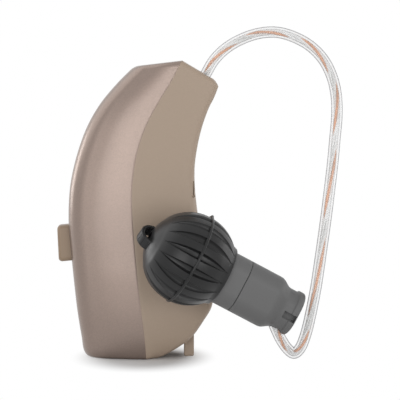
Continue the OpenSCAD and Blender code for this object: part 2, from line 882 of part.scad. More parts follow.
// A pipe through matching lists of outer and inner rings
module pipe_rings(outer, inner) {
    m = len(outer[0]);
    n = len(outer);
    shift = m * n;
    walls = [
        for (i = [0:n - 2], j = [0:m - 1]) each
            let (a = i * m + j, b = i * m + (j + 1) % m, c = a + m, d = b + m)
            [
                [a, c, b],
                [b, c, d],
                [a + shift, b + shift, c + shift],
                [b + shift, d + shift, c + shift]
            ]
    ];
    mouths = [
        for (i = [0, n - 1], j = [0:m - 1]) each
            let (
                a = i * m + j,
                b = i * m + (j + 1) % m,
                quad = [[a, b, b + shift], [a, b + shift, a + shift]]
            )
            i == 0 ? quad : [for (f = quad) [f[0], f[2], f[1]]]
    ];
    polyhedron(
        points = concat([for (r = outer) each r], [for (r = inner) each r]),
        faces = concat(walls, mouths),
        convexity = 10
    );
}
module ear_wire_tube() {
    color([0.86, 0.86, 0.85])
        pipe_rings(
            [for (k = [0:tube_rings]) route_ring(k / tube_rings, wire_d / 2, tube_sides)],
            [for (k = [0:tube_rings]) route_ring(k / tube_rings, wire_bore / 2, tube_sides)]
        );
}

// Length of the tube, added up along its points
function add(list, k = 0) = k == len(list) ? 0 : list[k] + add(list, k + 1);
wire_length = add([for (k = [0:route_last - 1]) norm(route[k + 1] - route[k])]);
lead_sides = 4;
// One of the three leads that twist round each other in the tube
module lead(index) {
    turns = wire_length / lead_pitch;
    skin_rings([
        for (k = [0:lead_rings])
            let (
                t = k / lead_rings,
                a = 360 * (turns * t + index / 3),
                middle = (route_side(t) * cos(a) + route_up(t) * sin(a)) * lead_offset
            )
            [
                for (j = [0:lead_sides - 1])
                    let (b = a + 360 * j / lead_sides)
                    route_at(t) + middle
                        + (route_side(t) * cos(b) + route_up(t) * sin(b)) * lead_d / 2
            ]
    ]);
}
module copper_lead() {
    color([0.80, 0.56, 0.40]) lead(0);
}
module silver_lead() {
    color([0.80, 0.80, 0.78]) lead(1);
}
module signal_lead() {
    color([0.88, 0.88, 0.86]) lead(2);
}

// Ear unit

// Its own frame starts at the middle of the dome, with Z towards the rear of the speaker
entry_z = 10.3;
entry_depth = 0.45;
neck_w = 4.2;
neck_t = 3.5;
module at_ear() {
    translate(wire_end)
        rotate([0, 90 + speaker_tilt, speaker_yaw])
            translate([-(neck_w / 2 - entry_depth), 0, -entry_z])
                children();
}

// Sections of the speaker housing: place along the axis, width, thickness, corner
module round_rect(w, t, r) {
    square([w - 2 * r, t], center = true);
    square([w, t - 2 * r], center = true);
    for (x = [-1, 1], y = [-1, 1])
        translate([x * (w / 2 - r), y * (t / 2 - r)]) circle(r = r);
}
section_r = 1.7;
seam_z = 5.5;
shoulder_z = 9.1;
rear_z = 11.8;
section_steps = 5;
// How the housing narrows from its shoulder to the neck: share of the length, share of the change
neck_shares = [[0.35, 0.25], [0.65, 0.8], [1, 1]];
// Where the neck ends and the rear rim begins
rear_shares = [0.45, 0.6];
function section(z, w, t, r) =
    [
        for (c = [0:3], k = [0:section_steps])
            let (
                a = 90 * c + 90 * k / section_steps,
                cx = (c == 0 || c == 3) ? w / 2 - r : r - w / 2,
                cy = c < 2 ? t / 2 - r : r - t / 2
            )
            [cx + r * cos(a), cy + r * sin(a), z]
    ];
module speaker_rear_shell() {
    rings = [
        section(seam_z + seat_gap, speaker_w, speaker_t, section_r),
        section(shoulder_z, speaker_w, speaker_t, section_r),
        for (n = neck_shares)
            section(mix(shoulder_z, entry_z, n[0]), mix(speaker_w, neck_w, n[1]),
                mix(speaker_t, neck_t, n[1]), section_r),
        section(mix(entry_z, rear_z, rear_shares[0]), neck_w, neck_t, section_r),
        section(mix(entry_z, rear_z, rear_shares[1]), rear_w, rear_t, section_r),
        section(rear_z - rear_round, rear_w, rear_t, section_r),
        section(rear_z, rear_w - 2 * rear_round, rear_t - 2 * rear_round, section_r - rear_round)
    ];
    color([0.42, 0.42, 0.42]) at_ear() difference() {
        skin_rings(rings);
        translate([0, 0, seam_z - over])
            linear_extrude(shoulder_z - seam_z + over)
                round_rect(speaker_w - 2 * speaker_wall, speaker_t - 2 * speaker_wall,
                    section_r - speaker_wall);
        // Hole for the end of the ear wire
        into_ear() between(wire_end - route_run(1) * neck_w, wire_end, wire_d + 2 * seat_gap);
        // Duct from the wire to the capsule
        between([neck_w / 2 - entry_depth, 0, entry_z], [0, 0, shoulder_z - over], wire_bore);
        // Slot in the side that faces the viewer, open towards the rear rim
        translate([slot_x, -rear_t / 2 - over, rear_z - slot_l])
            cube([slot_w, slot_deep + over, slot_l - slot_rim]);
    }
}
slot_x = 0.05;
slot_w = 0.7;
slot_l = 1.45;
slot_rim = 0.12;
slot_deep = 0.5;
// A round bar from one point to another
module between(a, b, d) {
    v = b - a;
    translate(a) rotate([0, acos(v[2] / norm(v)), atan2(v[1], v[0])]) cylinder(d = d, h = norm(v));
}
// Takes a shape that is placed in the body's frame back into the ear unit's own frame
module into_ear() {
    translate([neck_w / 2 - entry_depth, 0, entry_z])
        rotate([0, -90 - speaker_tilt, 0])
            rotate([0, 0, -speaker_yaw])
                translate(-wire_end)
                    children();
}
rear_w = 4.5;
rear_t = 3.8;
rear_round = 0.3;

module speaker_front_shell() {
    color([0.42, 0.42, 0.42]) at_ear() difference() {
        union() {
            translate([0, 0, rim_z - grip_l])
                linear_extrude(seam_z - rim_z + grip_l - seat_gap)
                    round_rect(speaker_w, speaker_t, section_r);
            translate([0, 0, nozzle_z]) cylinder(d = nozzle_d, h = rim_z - nozzle_z);
        }
        translate([0, 0, rim_z])
            linear_extrude(seam_z - rim_z + over)
                round_rect(speaker_w - 2 * speaker_wall, speaker_t - 2 * speaker_wall,
                    section_r - speaker_wall);
        translate([0, 0, nozzle_z - over])
            cylinder(d = spout_d + 2 * seat_gap, h = rim_z - nozzle_z + 2 * over);
    }
}
// Rear rim of the dome, the length that it grips, and the nozzle inside it
rim_z = 3.7;
grip_l = 1.6;
nozzle_inset = 1.7;
nozzle_z = nozzle_inset - dome_d / 2;
nozzle_d = 2.8;
spout_d = 1.7;

capsule_w = 3.6;
capsule_t = 2.6;
capsule_l = 4.5;
module speaker_capsule() {
    color([0.74, 0.74, 0.74]) at_ear()
        translate([0, 0, capsule_z + capsule_l / 2])
            cube([capsule_w, capsule_t, capsule_l], center = true);
}
capsule_z = 3.95;
// Soft rings that hold the capsule off the walls of its housing
module capsule_cushion() {
    color([0.30, 0.30, 0.31]) at_ear()
        for (z = [capsule_z + cushion_l, capsule_z + capsule_l - 2 * cushion_l])
            translate([0, 0, z]) difference() {
                linear_extrude(cushion_l)
                    round_rect(speaker_w - 2 * speaker_wall - 2 * seat_gap,
                        speaker_t - 2 * speaker_wall - 2 * seat_gap,
                        section_r - speaker_wall - seat_gap);
                translate([0, 0, cushion_l / 2])
                    cube([capsule_w + 2 * seat_gap, capsule_t + 2 * seat_gap, 2 * cushion_l],
                        center = true);
            }
}
cushion_l = 0.5;
module terminal_board() {
    color([0.20, 0.42, 0.28]) at_ear()
        translate([0, 0, capsule_z + capsule_l + seat_gap + terminal_t / 2])
            cube([capsule_w, capsule_t, terminal_t], center = true);
    color([0.80, 0.80, 0.80]) at_ear()
        for (k = [-1:1])
            translate([0, k * terminal_pitch, capsule_z + capsule_l + seat_gap + terminal_t])
                cylinder(d1 = pad_d, d2 = pad_d / 2, h = terminal_t);
}
terminal_t = 0.2;
terminal_pitch = 0.9;
pad_d = 0.6;
module sound_spout() {
    color([0.70, 0.70, 0.68]) at_ear()
        translate([0, 0, nozzle_z + guard_l + seat_gap]) difference() {
            cylinder(d = spout_d, h = capsule_z - nozzle_z - guard_l - 2 * seat_gap);
            translate([0, 0, -over])
                cylinder(d = spout_d - 2 * spout_wall, h = capsule_z - nozzle_z + 2 * over);
        }
}
spout_wall = 0.2;
guard_l = 0.8;
module wax_guard() {
    color([0.93, 0.93, 0.92]) at_ear()
        translate([0, 0, nozzle_z - guard_lip]) difference() {
            union() {
                cylinder(d = nozzle_d - 2 * run_gap, h = guard_lip - seat_gap);
                cylinder(d = spout_d, h = guard_l + guard_lip);
            }
            translate([0, 0, -over]) cylinder(d = guard_bore, h = guard_l + over);
        }
}
guard_lip = 0.3;
guard_bore = 0.9;

// One ring of the dome's skin. Each flute has two edges and a bottom, and fades out at
// both ends of its length, so that it is lens shaped; the belt runs over the flutes.
dome_r = dome_d / 2;
band_z = 3.35;
band_d = 6;
flute_end = 50;
flute_wide_share = 0.27;
flute_narrow_share = 0.02;
cap_step = 0.08;
belt_out = 0.13;
belt_low = -1;
belt_high = 3;
// Latitudes of the rings on the tip, in front of the belt and behind it
tip_angles = [-79, -68, -60];
front_angles = [-53, -47, -38, -28, -18, -9];
rear_angles = [11, 20, 29, 38, 46];
function flute_share(lat) = pow(max(cos(90 * lat / flute_end), 0), 0.8);
function dome_ring(lat, out, fluted) =
    let (
        pitch = 360 / rib_count,
        share = (fluted && abs(lat) < flute_end) ? flute_share(lat) : 0,
        half = pitch * max(flute_wide_share * share, flute_narrow_share),
        depth = flute_depth * share,
        r = max(dome_r * cos(lat), lat > 0 ? band_d / 2 : 0) + out,
        z = dome_r * sin(lat)
    )
    [
        for (k = [0:rib_count - 1], e = [[-half, 0], [0, depth], [half, 0], [pitch / 2, 0]])
            [(r - e[1]) * cos(pitch * k + e[0]), (r - e[1]) * sin(pitch * k + e[0]), z]
    ];
function at_height(ring, z, r_new) =
    [for (p = ring) let (q = unit([p[0], p[1]])) [q[0] * r_new, q[1] * r_new, z]];
dome_rings = concat(
    [for (lat = tip_angles) dome_ring(lat, -cap_step, false)],
    [for (lat = front_angles) dome_ring(lat, 0, true)],
    [dome_ring(belt_low, 0, true), dome_ring(belt_low, belt_out, false)],
    [dome_ring(belt_high, belt_out, false), dome_ring(belt_high, 0, true)],
    [for (lat = rear_angles) dome_ring(lat, 0, true)],
    [for (z = [band_z, rim_z]) at_height(dome_ring(rear_angles[0], 0, false), z, band_d / 2)]
);
tip_t = 1.3;
cap_floor = tip_t - dome_r;
outlet_d = 1.3;
sleeve_t = 0.5;
sleeve_l = 3.6;
// Strap of the hoop: middle radius, thickness, width, corner, and its turn about the axis
hoop_r = 1.05;
hoop_t = 0.35;
hoop_w = 1.2;
hoop_corner = 0.1;
hoop_turn = -53;
hoop_sink = 0.25;
hoop_z = dome_r - hoop_sink;
module ear_dome() {
    inner_d = dome_d - 2 * dome_wall;
    color([0.22, 0.22, 0.22]) at_ear() {
        difference() {
            skin_rings(dome_rings);
            // Hollow between the wall and the inner sleeve
            rotate_extrude() difference() {
                intersection() {
                    circle(d = inner_d);
                    translate([0, cap_floor]) square([inner_d / 2, rim_z - grip_l - cap_floor]);
                }
                translate([nozzle_d / 2 + run_gap, cap_floor - over])
                    square([sleeve_t, sleeve_l + over]);
            }
            // Sound outlet at the tip
            translate([0, 0, -dome_d]) cylinder(d = outlet_d, h = dome_d);
            // Seat of the speaker housing
            translate([0, 0, rim_z - grip_l - seat_gap])
                linear_extrude(2 * grip_l)
                    round_rect(speaker_w + 2 * run_gap, speaker_t + 2 * run_gap, section_r + run_gap);
        }
        // Hoop over the sound outlet
        rotate([0, 0, hoop_turn]) translate([0, 0, -hoop_z]) rotate([-90, 0, 0])
            rotate_extrude(angle = 180) translate([hoop_r, 0]) polygon([
                for (s = [[1, 1], [-1, 1], [-1, -1], [1, -1]], k = [0, 1])
                    let (near = s[0] * s[1] > 0 ? k : 1 - k)
                    [
                        s[0] * (hoop_t / 2 - (near == 1 ? hoop_corner : 0)),
                        s[1] * (hoop_w / 2 - (near == 0 ? hoop_corner : 0))
                    ]
            ]);
    }
}

back_cover();
front_housing();
chassis();
circuit_board();
signal_processor();
radio_chip();
board_capacitors();
front_microphone();
rear_microphone();
microphone_seals();
microphone_screens();
telecoil();
antenna();
tactile_switch();
push_button();
battery_drawer();
hinge_pin();
battery_can();
zinc_paste();
battery_seal();
battery_cap();
positive_contact();
negative_contact();
wire_socket();
lock_pin();
wire_plug();
plug_contacts();
ear_wire_tube();
copper_lead();
silver_lead();
signal_lead();
speaker_rear_shell();
speaker_front_shell();
speaker_capsule();
capsule_cushion();
terminal_board();
sound_spout();
wax_guard();
ear_dome();
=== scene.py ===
"""Finished pieces, materials and stage of a behind the ear hearing aid.

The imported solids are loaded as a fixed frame, in metres: X runs from the back of the body to its
front, Z is up, and the ear unit hangs on the side of negative Y. Lengths in this file are in
millimetres where a name or a table says nothing else.
"""
import json
import math

import bmesh
import bpy
from mathutils import Matrix, Vector

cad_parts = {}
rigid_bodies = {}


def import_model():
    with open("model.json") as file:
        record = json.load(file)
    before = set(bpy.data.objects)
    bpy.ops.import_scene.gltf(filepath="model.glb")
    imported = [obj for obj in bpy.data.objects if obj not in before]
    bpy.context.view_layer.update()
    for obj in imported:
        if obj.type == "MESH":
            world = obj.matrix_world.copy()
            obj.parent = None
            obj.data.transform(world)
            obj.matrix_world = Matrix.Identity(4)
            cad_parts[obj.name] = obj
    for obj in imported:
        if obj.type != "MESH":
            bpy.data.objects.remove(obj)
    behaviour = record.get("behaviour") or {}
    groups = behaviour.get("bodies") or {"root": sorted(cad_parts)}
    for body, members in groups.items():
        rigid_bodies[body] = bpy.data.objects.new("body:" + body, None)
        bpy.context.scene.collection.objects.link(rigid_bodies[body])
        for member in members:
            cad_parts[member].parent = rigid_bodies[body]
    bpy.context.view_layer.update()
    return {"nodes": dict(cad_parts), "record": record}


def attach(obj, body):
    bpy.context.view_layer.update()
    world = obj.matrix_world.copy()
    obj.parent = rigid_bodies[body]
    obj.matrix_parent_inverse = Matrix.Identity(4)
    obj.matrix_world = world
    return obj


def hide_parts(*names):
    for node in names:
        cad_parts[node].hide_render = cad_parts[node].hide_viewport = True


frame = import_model()

bl_info = {
    "name": "Behind the ear hearing aid",
    "version": (1, 0, 0),
    "blender": (4, 5, 0),
    "location": "3D View > Sidebar > Hearing aid",
    "description": "Finished pieces, materials and stage of a behind the ear hearing aid",
    "category": "Object",
}

MM = 0.001

# Side view of the body as shares of its depth and height: back line, ridge line, front line, and
# the share of the full width there, from the base to the top
STATIONS = [
    ((-0.226, 0.000), (0.174, 0.000), (0.262, 0.000), 0.86),
    ((-0.253, 0.025), (0.171, 0.027), (0.369, 0.031), 0.90),
    ((-0.265, 0.068), (0.164, 0.068), (0.470, 0.068), 0.94),
    ((-0.279, 0.112), (0.154, 0.115), (0.557, 0.129), 0.97),
    ((-0.295, 0.169), (0.141, 0.169), (0.611, 0.180), 0.99),
    ((-0.314, 0.258), (0.121, 0.258), (0.617, 0.247), 1.00),
    ((-0.332, 0.353), (0.104, 0.353), (0.577, 0.339), 1.00),
    ((-0.347, 0.447), (0.090, 0.447), (0.527, 0.441), 1.00),
    ((-0.344, 0.536), (0.082, 0.542), (0.498, 0.549), 1.00),
    ((-0.326, 0.610), (0.094, 0.627), (0.494, 0.637), 0.99),
    ((-0.282, 0.698), (0.124, 0.708), (0.510, 0.705), 0.98),
    ((-0.218, 0.783), (0.185, 0.793), (0.540, 0.773), 0.97),
    ((-0.131, 0.858), (0.265, 0.868), (0.584, 0.837), 0.95),
    ((-0.020, 0.925), (0.342, 0.932), (0.624, 0.878), 0.93),
    ((0.067, 0.969), (0.393, 0.982), (0.652, 0.914), 0.91),
]
LAST_STATION = len(STATIONS) - 1
TOP_BACK = (0.091, 0.981)
TOP_RIDGE = (0.409, 1.000)
TOP_FRONT = (0.641, 0.931)
MOUTH_SHARE = 0.68
CORNER_END = 80
HINGE_STATION = 8
BUTTON_STATION = 6.35
MICROPHONE_STATIONS = (10.2, 12.6)
FLOOR_STATION = 0.9
CEILING_STATION = 13.45
LATCH_STATION = 3.6

# Route of the ear wire from its socket to the speaker: shares of its reach, side and drop
ROUTE = [
    (0.069, 0.015, 0.055), (0.170, 0.050, 0.101), (0.295, 0.105, 0.134), (0.427, 0.165, 0.153),
    (0.560, 0.230, 0.155), (0.692, 0.300, 0.136), (0.809, 0.370, 0.103), (0.903, 0.440, 0.055),
    (0.965, 0.500, -0.005), (0.996, 0.560, -0.072), (1.000, 0.620, -0.146), (0.984, 0.680, -0.228),
    (0.965, 0.735, -0.320), (0.938, 0.790, -0.424), (0.910, 0.845, -0.525), (0.875, 0.900, -0.640),
    (0.836, 0.945, -0.762), (0.793, 0.975, -0.866), (0.758, 0.985, -0.933), (0.719, 0.985, -0.980),
    (0.669, 0.985, -1.000), (0.614, 0.985, -0.980), (0.567, 0.985, -0.946), (0.536, 0.985, -0.915),
    (0.513, 0.985, -0.889),
]


# Settings that a user would change


def size(name, description, default):
    """A length in millimetres, shown in metres in the sidebar."""
    return bpy.props.FloatProperty(name=name, description=description, default=default * MM,
                                   min=0.0, precision=5, subtype="DISTANCE", unit="LENGTH")


def tint(name, description, code):
    """A colour, given as an sRGB hex value."""
    return bpy.props.FloatVectorProperty(name=name, description=description, subtype="COLOR",
                                         size=3, min=0.0, max=1.0, default=linear(code))


def linear(code):
    """Linear colour of an sRGB hex value."""
    parts = [int(code[i:i + 2], 16) / 255 for i in (1, 3, 5)]
    return tuple(c / 12.92 if c <= 0.04045 else ((c + 0.055) / 1.055) ** 2.4 for c in parts)


class AidSizes(bpy.types.PropertyGroup):
    """Sizes of the pieces."""

    body_h: size("Body height", "Height of the body over its flat base", 29.5)
    body_d: size("Body depth", "Depth of the body that the side view is a share of", 14.9)
    body_w: size("Body width", "Width across the two ridges", 7.8)
    corner_w: size("Corner width", "Width across the corners at the back and at the front", 6.2)
    back_r: size("Back corner", "Rounding of the back corners", 2.0)
    front_r: size("Front corner", "Rounding of the front corners", 0.8)
    rim_r: size("Rim rounding", "Rounding round the base and the top", 0.4)
    wall: size("Shell wall", "Wall of both shells", 0.7)
    crease_r: size("Crease rounding", "Rounding of the shells where they meet", 0.015)
    facet_crown: size("Facet crown", "Rise of the pearl facet at its middle", 0.15)
    door_w: size("Drawer width", "Width of the drawer and of its opening", 4.52)
    button_h: size("Button height", "Height of the push button", 3.6)
    button_w: size("Button width", "Width of the push button", 2.2)
    button_out: size("Button height over the back", "How far the button stands out", 1.15)
    wire_d: size("Ear wire diameter", "Outer diameter of the clear tube", 1.12)
    wire_bore: size("Ear wire bore", "Bore of the clear tube", 0.62)
    lead_d: size("Lead diameter", "Diameter of one lead", 0.25)
    lead_pitch: size("Lead twist", "Length of one full twist of the leads", 5.8)
    speaker_w: size("Speaker width", "Width of the speaker housing", 5.3)
    speaker_t: size("Speaker thickness", "Thickness of the speaker housing", 4.6)
    dome_d: size("Dome diameter", "Diameter of the silicone dome", 9.0)
    flute_depth: size("Flute depth", "Depth of the flutes of the dome", 0.36)
    belt_w: size("Belt width", "Width of the belt round the dome", 0.26)
    belt_out: size("Belt height", "Height of the belt over the dome", 0.13)


class AidColours(bpy.types.PropertyGroup):
    """Colours of the pieces."""

    pearl: tint("Pearl lacquer", "Back cover", "#8A7A71")
    paint: tint("Tan paint", "Front housing", "#AA9785")
    drawer: tint("Drawer paint", "Battery drawer", "#A89583")
    button: tint("Button", "Push button", "#927D68")
    speaker: tint("Speaker housing", "Both halves of the speaker housing", "#616161")
    silicone: tint("Silicone", "Dome", "#101011")
    copper: tint("Copper lead", "Lacquer of the copper coloured lead", "#E5944C")
    silver: tint("Silver lead", "Silver coloured leads", "#FAFAF8")


def sizes():
    """Sizes of the scene in millimetres."""
    group = bpy.context.scene.aid_sizes
    return {name: getattr(group, name) / MM for name in AidSizes.__annotations__}


def colours():
    """Colours of the scene."""
    group = bpy.context.scene.aid_colours
    return {name: tuple(getattr(group, name)) for name in AidColours.__annotations__}


# Points of the body and the ear wire, in millimetres


def mix(a, b, t):
    return a + (b - a) * t


def spline(table, u):
    """Point of a smooth line through the table's points, at place u."""
    n = len(table) - 1
    i = max(0, min(math.floor(u), n - 1))
    t = u - i
    a, b, c, d = table[max(i - 1, 0)], table[i], table[i + 1], table[min(i + 2, n)]
    return 0.5 * (2 * b + (c - a) * t + (2 * a - 5 * b + 4 * c - d) * t * t
                  + (3 * b - a - 3 * c + d) * t ** 3)


class Body:
    """Lines of the body's side view, from the sizes of the scene."""

    def __init__(self):
        self.s = sizes()
        self.back = [self.side(row[0]) for row in STATIONS]
        self.ridge = [self.side(row[1]) for row in STATIONS]
        self.front = [self.side(row[2]) for row in STATIONS]
        self.width = [Vector((row[3], 0)) for row in STATIONS]
        self.top = [self.side(p) for p in (TOP_BACK, TOP_FRONT)]
        self.top_ridge = self.side(TOP_RIDGE)
        run = (self.top[1] - self.top_ridge).normalized()
        self.mouth_out = Vector((-run.y, run.x))
        self.mouth = self.top_ridge.lerp(self.top[1], MOUTH_SHARE)

    def side(self, share):
        return Vector((share[0] * self.s["body_d"], share[1] * self.s["body_h"]))

    def end(self, front, u):
        return spline(self.front if front else self.back, u)

    def ring(self, front, end, ridge, share, inset, steps=9):
        """Points of one half ring, from ridge to ridge round the back or the front."""
        along = (ridge - end).normalized()
        tip = end + along * inset
        corner = self.s["front_r"] if front else self.s["back_r"]
        r = max(corner - inset, self.s["rim_r"] / 4)
        wide = self.s["corner_w"] / 2 * share - inset
        ridge_half = self.s["body_w"] / 2 * share - inset
        half = []
        for k in range(steps + 1):
            a = math.radians(CORNER_END * (1 - k / steps))
            p = tip + along * (r - r * math.cos(a))
            half.append((p.x, -(wide - r + r * math.sin(a)), p.y))
        # Between the corner and the ridge the tan facet is flat, and the pearl facet is slightly
        # crowned, so that its gloss runs from light to dark
        first = Vector(half[0])
        crest = Vector((ridge.x, -ridge_half, ridge.y))
        crown = 0 if front else self.s["facet_crown"]
        span = first - crest
        out = Vector((-span.y * along.x, span.x * along.x + span.z * along.y,
                      -span.y * along.y)).normalized()
        facet = [tuple(crest.lerp(first, t) + out * crown * 4 * t * (1 - t))
                 for t in (0, 0.04, 0.2, 0.35, 0.5, 0.65, 0.82)]
        near = facet + half
        return near + [(x, -y, z) for x, y, z in reversed(near)]

    def station_ring(self, front, u, inset):
        return self.ring(front, self.end(front, u), spline(self.ridge, u),
                         spline(self.width, u).x, inset)

    def skin(self, front, steps=6):
        """Rings of a shell's skin from the base to the top, with both rounded rims."""
        rim = self.s["rim_r"]
        rows = []
        for k in range(7):
            a = math.radians(90 * k / 7)
            rows.append(self.station_ring(front, 0.5 * (1 - math.cos(a)), rim * (1 - math.sin(a))))
        total = LAST_STATION * steps
        rows += [self.station_ring(front, k / steps, 0) for k in range(steps // 2, total + 1)]
        for k in range(1, 7):
            a = math.radians(90 * k / 6)
            end = self.end(front, LAST_STATION).lerp(self.top[1 if front else 0], math.sin(a))
            ridge = self.ridge[-1].lerp(self.top_ridge, math.sin(a))
            rows.append(self.ring(front, end, ridge, STATIONS[-1][3], rim * (1 - math.cos(a))))
        return rows

    def slope(self, u):
        """Slope of the back line from level, in radians."""
        d = self.end(False, u + 0.1) - self.end(False, u - 0.1)
        return math.atan2(d.y, d.x)

    def place(self, point, angle, y=0.0):
        """Matrix in metres that puts a shape at a point of the side view, turned in that view."""
        return (Matrix.Translation(Vector((point.x, y, point.y)) * MM)
                @ Matrix.Rotation(-angle, 4, "Y"))

    def at_back(self, u):
        """Matrix in metres at a station of the back line, whose X points into the body."""
        return self.place(self.end(False, u), self.slope(u) - math.pi / 2)

    def at_mouth(self):
        """Matrix in metres at the ear wire's mouth, whose Z points out of the body."""
        turn = math.atan2(self.mouth_out.x, self.mouth_out.y)
        return (Matrix.Translation(Vector((self.mouth.x, 0, self.mouth.y)) * MM)
                @ Matrix.Rotation(turn, 4, "Y"))


class Wire:
    """Middle line of the ear wire, from the scene's sizes."""

    reach, side, drop, collar = 12.8, 7.0, 26.9, 1.18

    def __init__(self):
        body = Body()
        mouth = Vector((body.mouth.x, 0, body.mouth.y))
        out = Vector((body.mouth_out.x, 0, body.mouth_out.y))
        self.points = [mouth - out * self.collar, mouth] + [
            mouth + Vector((x * self.reach, -y * self.side, z * self.drop)) for x, y, z in ROUTE]
        self.last = len(self.points) - 1
        self.length = sum((b - a).length for a, b in zip(self.points, self.points[1:]))
        self.end = self.points[-1]

    def at(self, t):
        return spline(self.points, t * self.last)

    def frame(self, t):
        """Run of the wire and two directions square to it."""
        step = 0.002
        run = (self.at(min(t + step, 1)) - self.at(max(t - step, 0))).normalized()
        side = Vector((0, 1, 0)).cross(run).normalized()
        return run, side, run.cross(side)

    def ring(self, t, r, sides, middle=(0.0, 0.0), turn=0.0):
        """A ring square to the wire, whose last point lies on its first."""
        run, side, up = self.frame(t)
        centre = self.at(t) + side * middle[0] + up * middle[1]
        points = []
        for k in range(sides + 1):
            a = 2 * math.pi * (k % sides) / sides + turn
            points.append(tuple(centre + side * r * math.cos(a) + up * r * math.sin(a)))
        return points


LEAD_OFFSET = 0.6
NECK_W, NECK_T = 4.2, 3.5
ENTRY_Z, ENTRY_DEPTH = 10.3, 0.45
TILT, YAW = 28.5, 9.0


def at_ear():
    """Matrix in metres from the ear unit's own frame, whose Z runs to the speaker's rear."""
    return (Matrix.Translation(Wire().end * MM)
            @ Matrix.Rotation(math.radians(YAW), 4, "Z")
            @ Matrix.Rotation(math.radians(90 + TILT), 4, "Y")
            @ Matrix.Translation(Vector((-(NECK_W / 2 - ENTRY_DEPTH), 0, -ENTRY_Z)) * MM))


# Modelling by Blender's own tools

# Points closer than this are one, in metres
DOUBLES = 2e-7


def clear_selection():
    active = bpy.context.view_layer.objects.active
    if active and active.mode != "OBJECT":
        bpy.ops.object.mode_set(mode="OBJECT")
    bpy.ops.object.select_all(action="DESELECT")


def take(*pieces):
    """Selects pieces, with the first one active."""
    clear_selection()
    for piece in pieces:
        piece.select_set(True)
    bpy.context.view_layer.objects.active = pieces[0]
    return pieces[0]


def added(name):
    """The primitive that has just been added, under its own name."""
    piece = bpy.context.view_layer.objects.active
    piece.name = name
    piece.data.name = name
    return piece


def edit(piece, pick=None, kind="FACE"):
    """Goes into edit mode with the faces, edges or points selected that pick says yes to."""
    take(piece)
    bpy.ops.object.mode_set(mode="EDIT")
    bpy.ops.mesh.select_mode(type=kind)
    if pick is None:
        bpy.ops.mesh.select_all(action="SELECT")
        return
    bpy.ops.mesh.select_all(action="DESELECT")
    mesh = bmesh.from_edit_mesh(piece.data)
    items = {"FACE": mesh.faces, "EDGE": mesh.edges, "VERT": mesh.verts}[kind]
    for item in items:
        if pick(item):
            item.select_set(True)
    mesh.select_flush_mode()
    bmesh.update_edit_mesh(piece.data)


def leave():
    bpy.ops.object.mode_set(mode="OBJECT")


def tidy(piece):
    """Merges doubles and turns all faces outwards."""
    edit(piece)
    bpy.ops.mesh.remove_doubles(threshold=DOUBLES)
    bpy.ops.mesh.normals_make_consistent(inside=False)
    leave()


def close_ends(piece):
    """Closes the open ends of a sheet and turns its faces outwards."""
    edit(piece, lambda e: e.is_boundary, "EDGE")
    bpy.ops.mesh.edge_face_add()
    leave()
    tidy(piece)


def sheet_of(name, rows):
    """A grid whose points are moved to rows of points in millimetres."""
    clear_selection()
    bpy.ops.mesh.primitive_grid_add(x_subdivisions=len(rows[0]) - 1,
                                    y_subdivisions=len(rows) - 1, size=1)
    piece = added(name)
    piece.data.vertices.foreach_set("co", [c * MM for row in rows for p in row for c in p])
    piece.data.update()
    return piece


def fill_ends(piece, start, finish):
    """Closes the first and last rows of a sheet, given the points of each in metres."""
    for row in (start, finish):
        keys = {tuple(round(c * 1e7) for c in p) for p in row}

        def on_row(vert):
            return tuple(round(c * 1e7) for c in vert.co) in keys

        edit(piece, lambda e: e.is_boundary and all(on_row(v) for v in e.verts), "EDGE")
        bpy.ops.mesh.edge_face_add()
        leave()


def modify(piece, kind, **settings):
    """Adds a modifier with its settings and applies it."""
    take(piece)
    modifier = piece.modifiers.new(kind.title(), kind)
    for key, value in settings.items():
        setattr(modifier, key, value)
    bpy.ops.object.modifier_apply(modifier=modifier.name)
    return piece


def cut(piece, *cutters, operation="DIFFERENCE"):
    """Cuts shapes out of a piece, or adds them to it, and removes the shapes."""
    for cutter in cutters:
        modify(piece, "BOOLEAN", object=cutter, operation=operation, solver="EXACT")
        bpy.data.objects.remove(cutter)
    return piece


def settle(piece, matrix):
    """Moves a piece's points by a matrix, so that the object itself stays at the origin."""
    take(piece)
    piece.matrix_world = matrix @ piece.matrix_world
    bpy.ops.object.transform_apply(location=True, rotation=True, scale=True)
    return piece


def bar(name, size_mm, matrix, centre=(0, 0, 0), round_mm=0.0, segments=3):
    """A block of a size in millimetres whose edges are rounded in edit mode."""
    clear_selection()
    bpy.ops.mesh.primitive_cube_add(size=1, location=[c * MM for c in centre],
                                    scale=[c * MM for c in size_mm])
    piece = added(name)
    bpy.ops.object.transform_apply(location=True, rotation=True, scale=True)
    if round_mm:
        edit(piece)
        bpy.ops.mesh.bevel(offset=round_mm * MM, segments=segments, affect="EDGES")
        leave()
    return settle(piece, matrix)


def rod(name, d, length, matrix, centre=(0, 0, 0), turn=(0, 0, 0), sides=48, round_mm=0.0):
    """A round bar of a diameter and length in millimetres, with its ends rounded."""
    clear_selection()
    bpy.ops.mesh.primitive_cylinder_add(vertices=sides, radius=d / 2 * MM, depth=length * MM,
                                        location=[c * MM for c in centre], rotation=turn)
    piece = added(name)
    bpy.ops.object.transform_apply(location=True, rotation=True, scale=True)
    if round_mm:
        edit(piece, lambda e: any(len(f.verts) > 4 for f in e.link_faces), "EDGE")
        bpy.ops.mesh.bevel(offset=round_mm * MM, segments=3, affect="EDGES")
        leave()
    return settle(piece, matrix)


def break_edges(piece, width_mm):
    modify(piece, "BEVEL", width=width_mm * MM, segments=2, limit_method="ANGLE",
           angle_limit=math.radians(32), harden_normals=False)


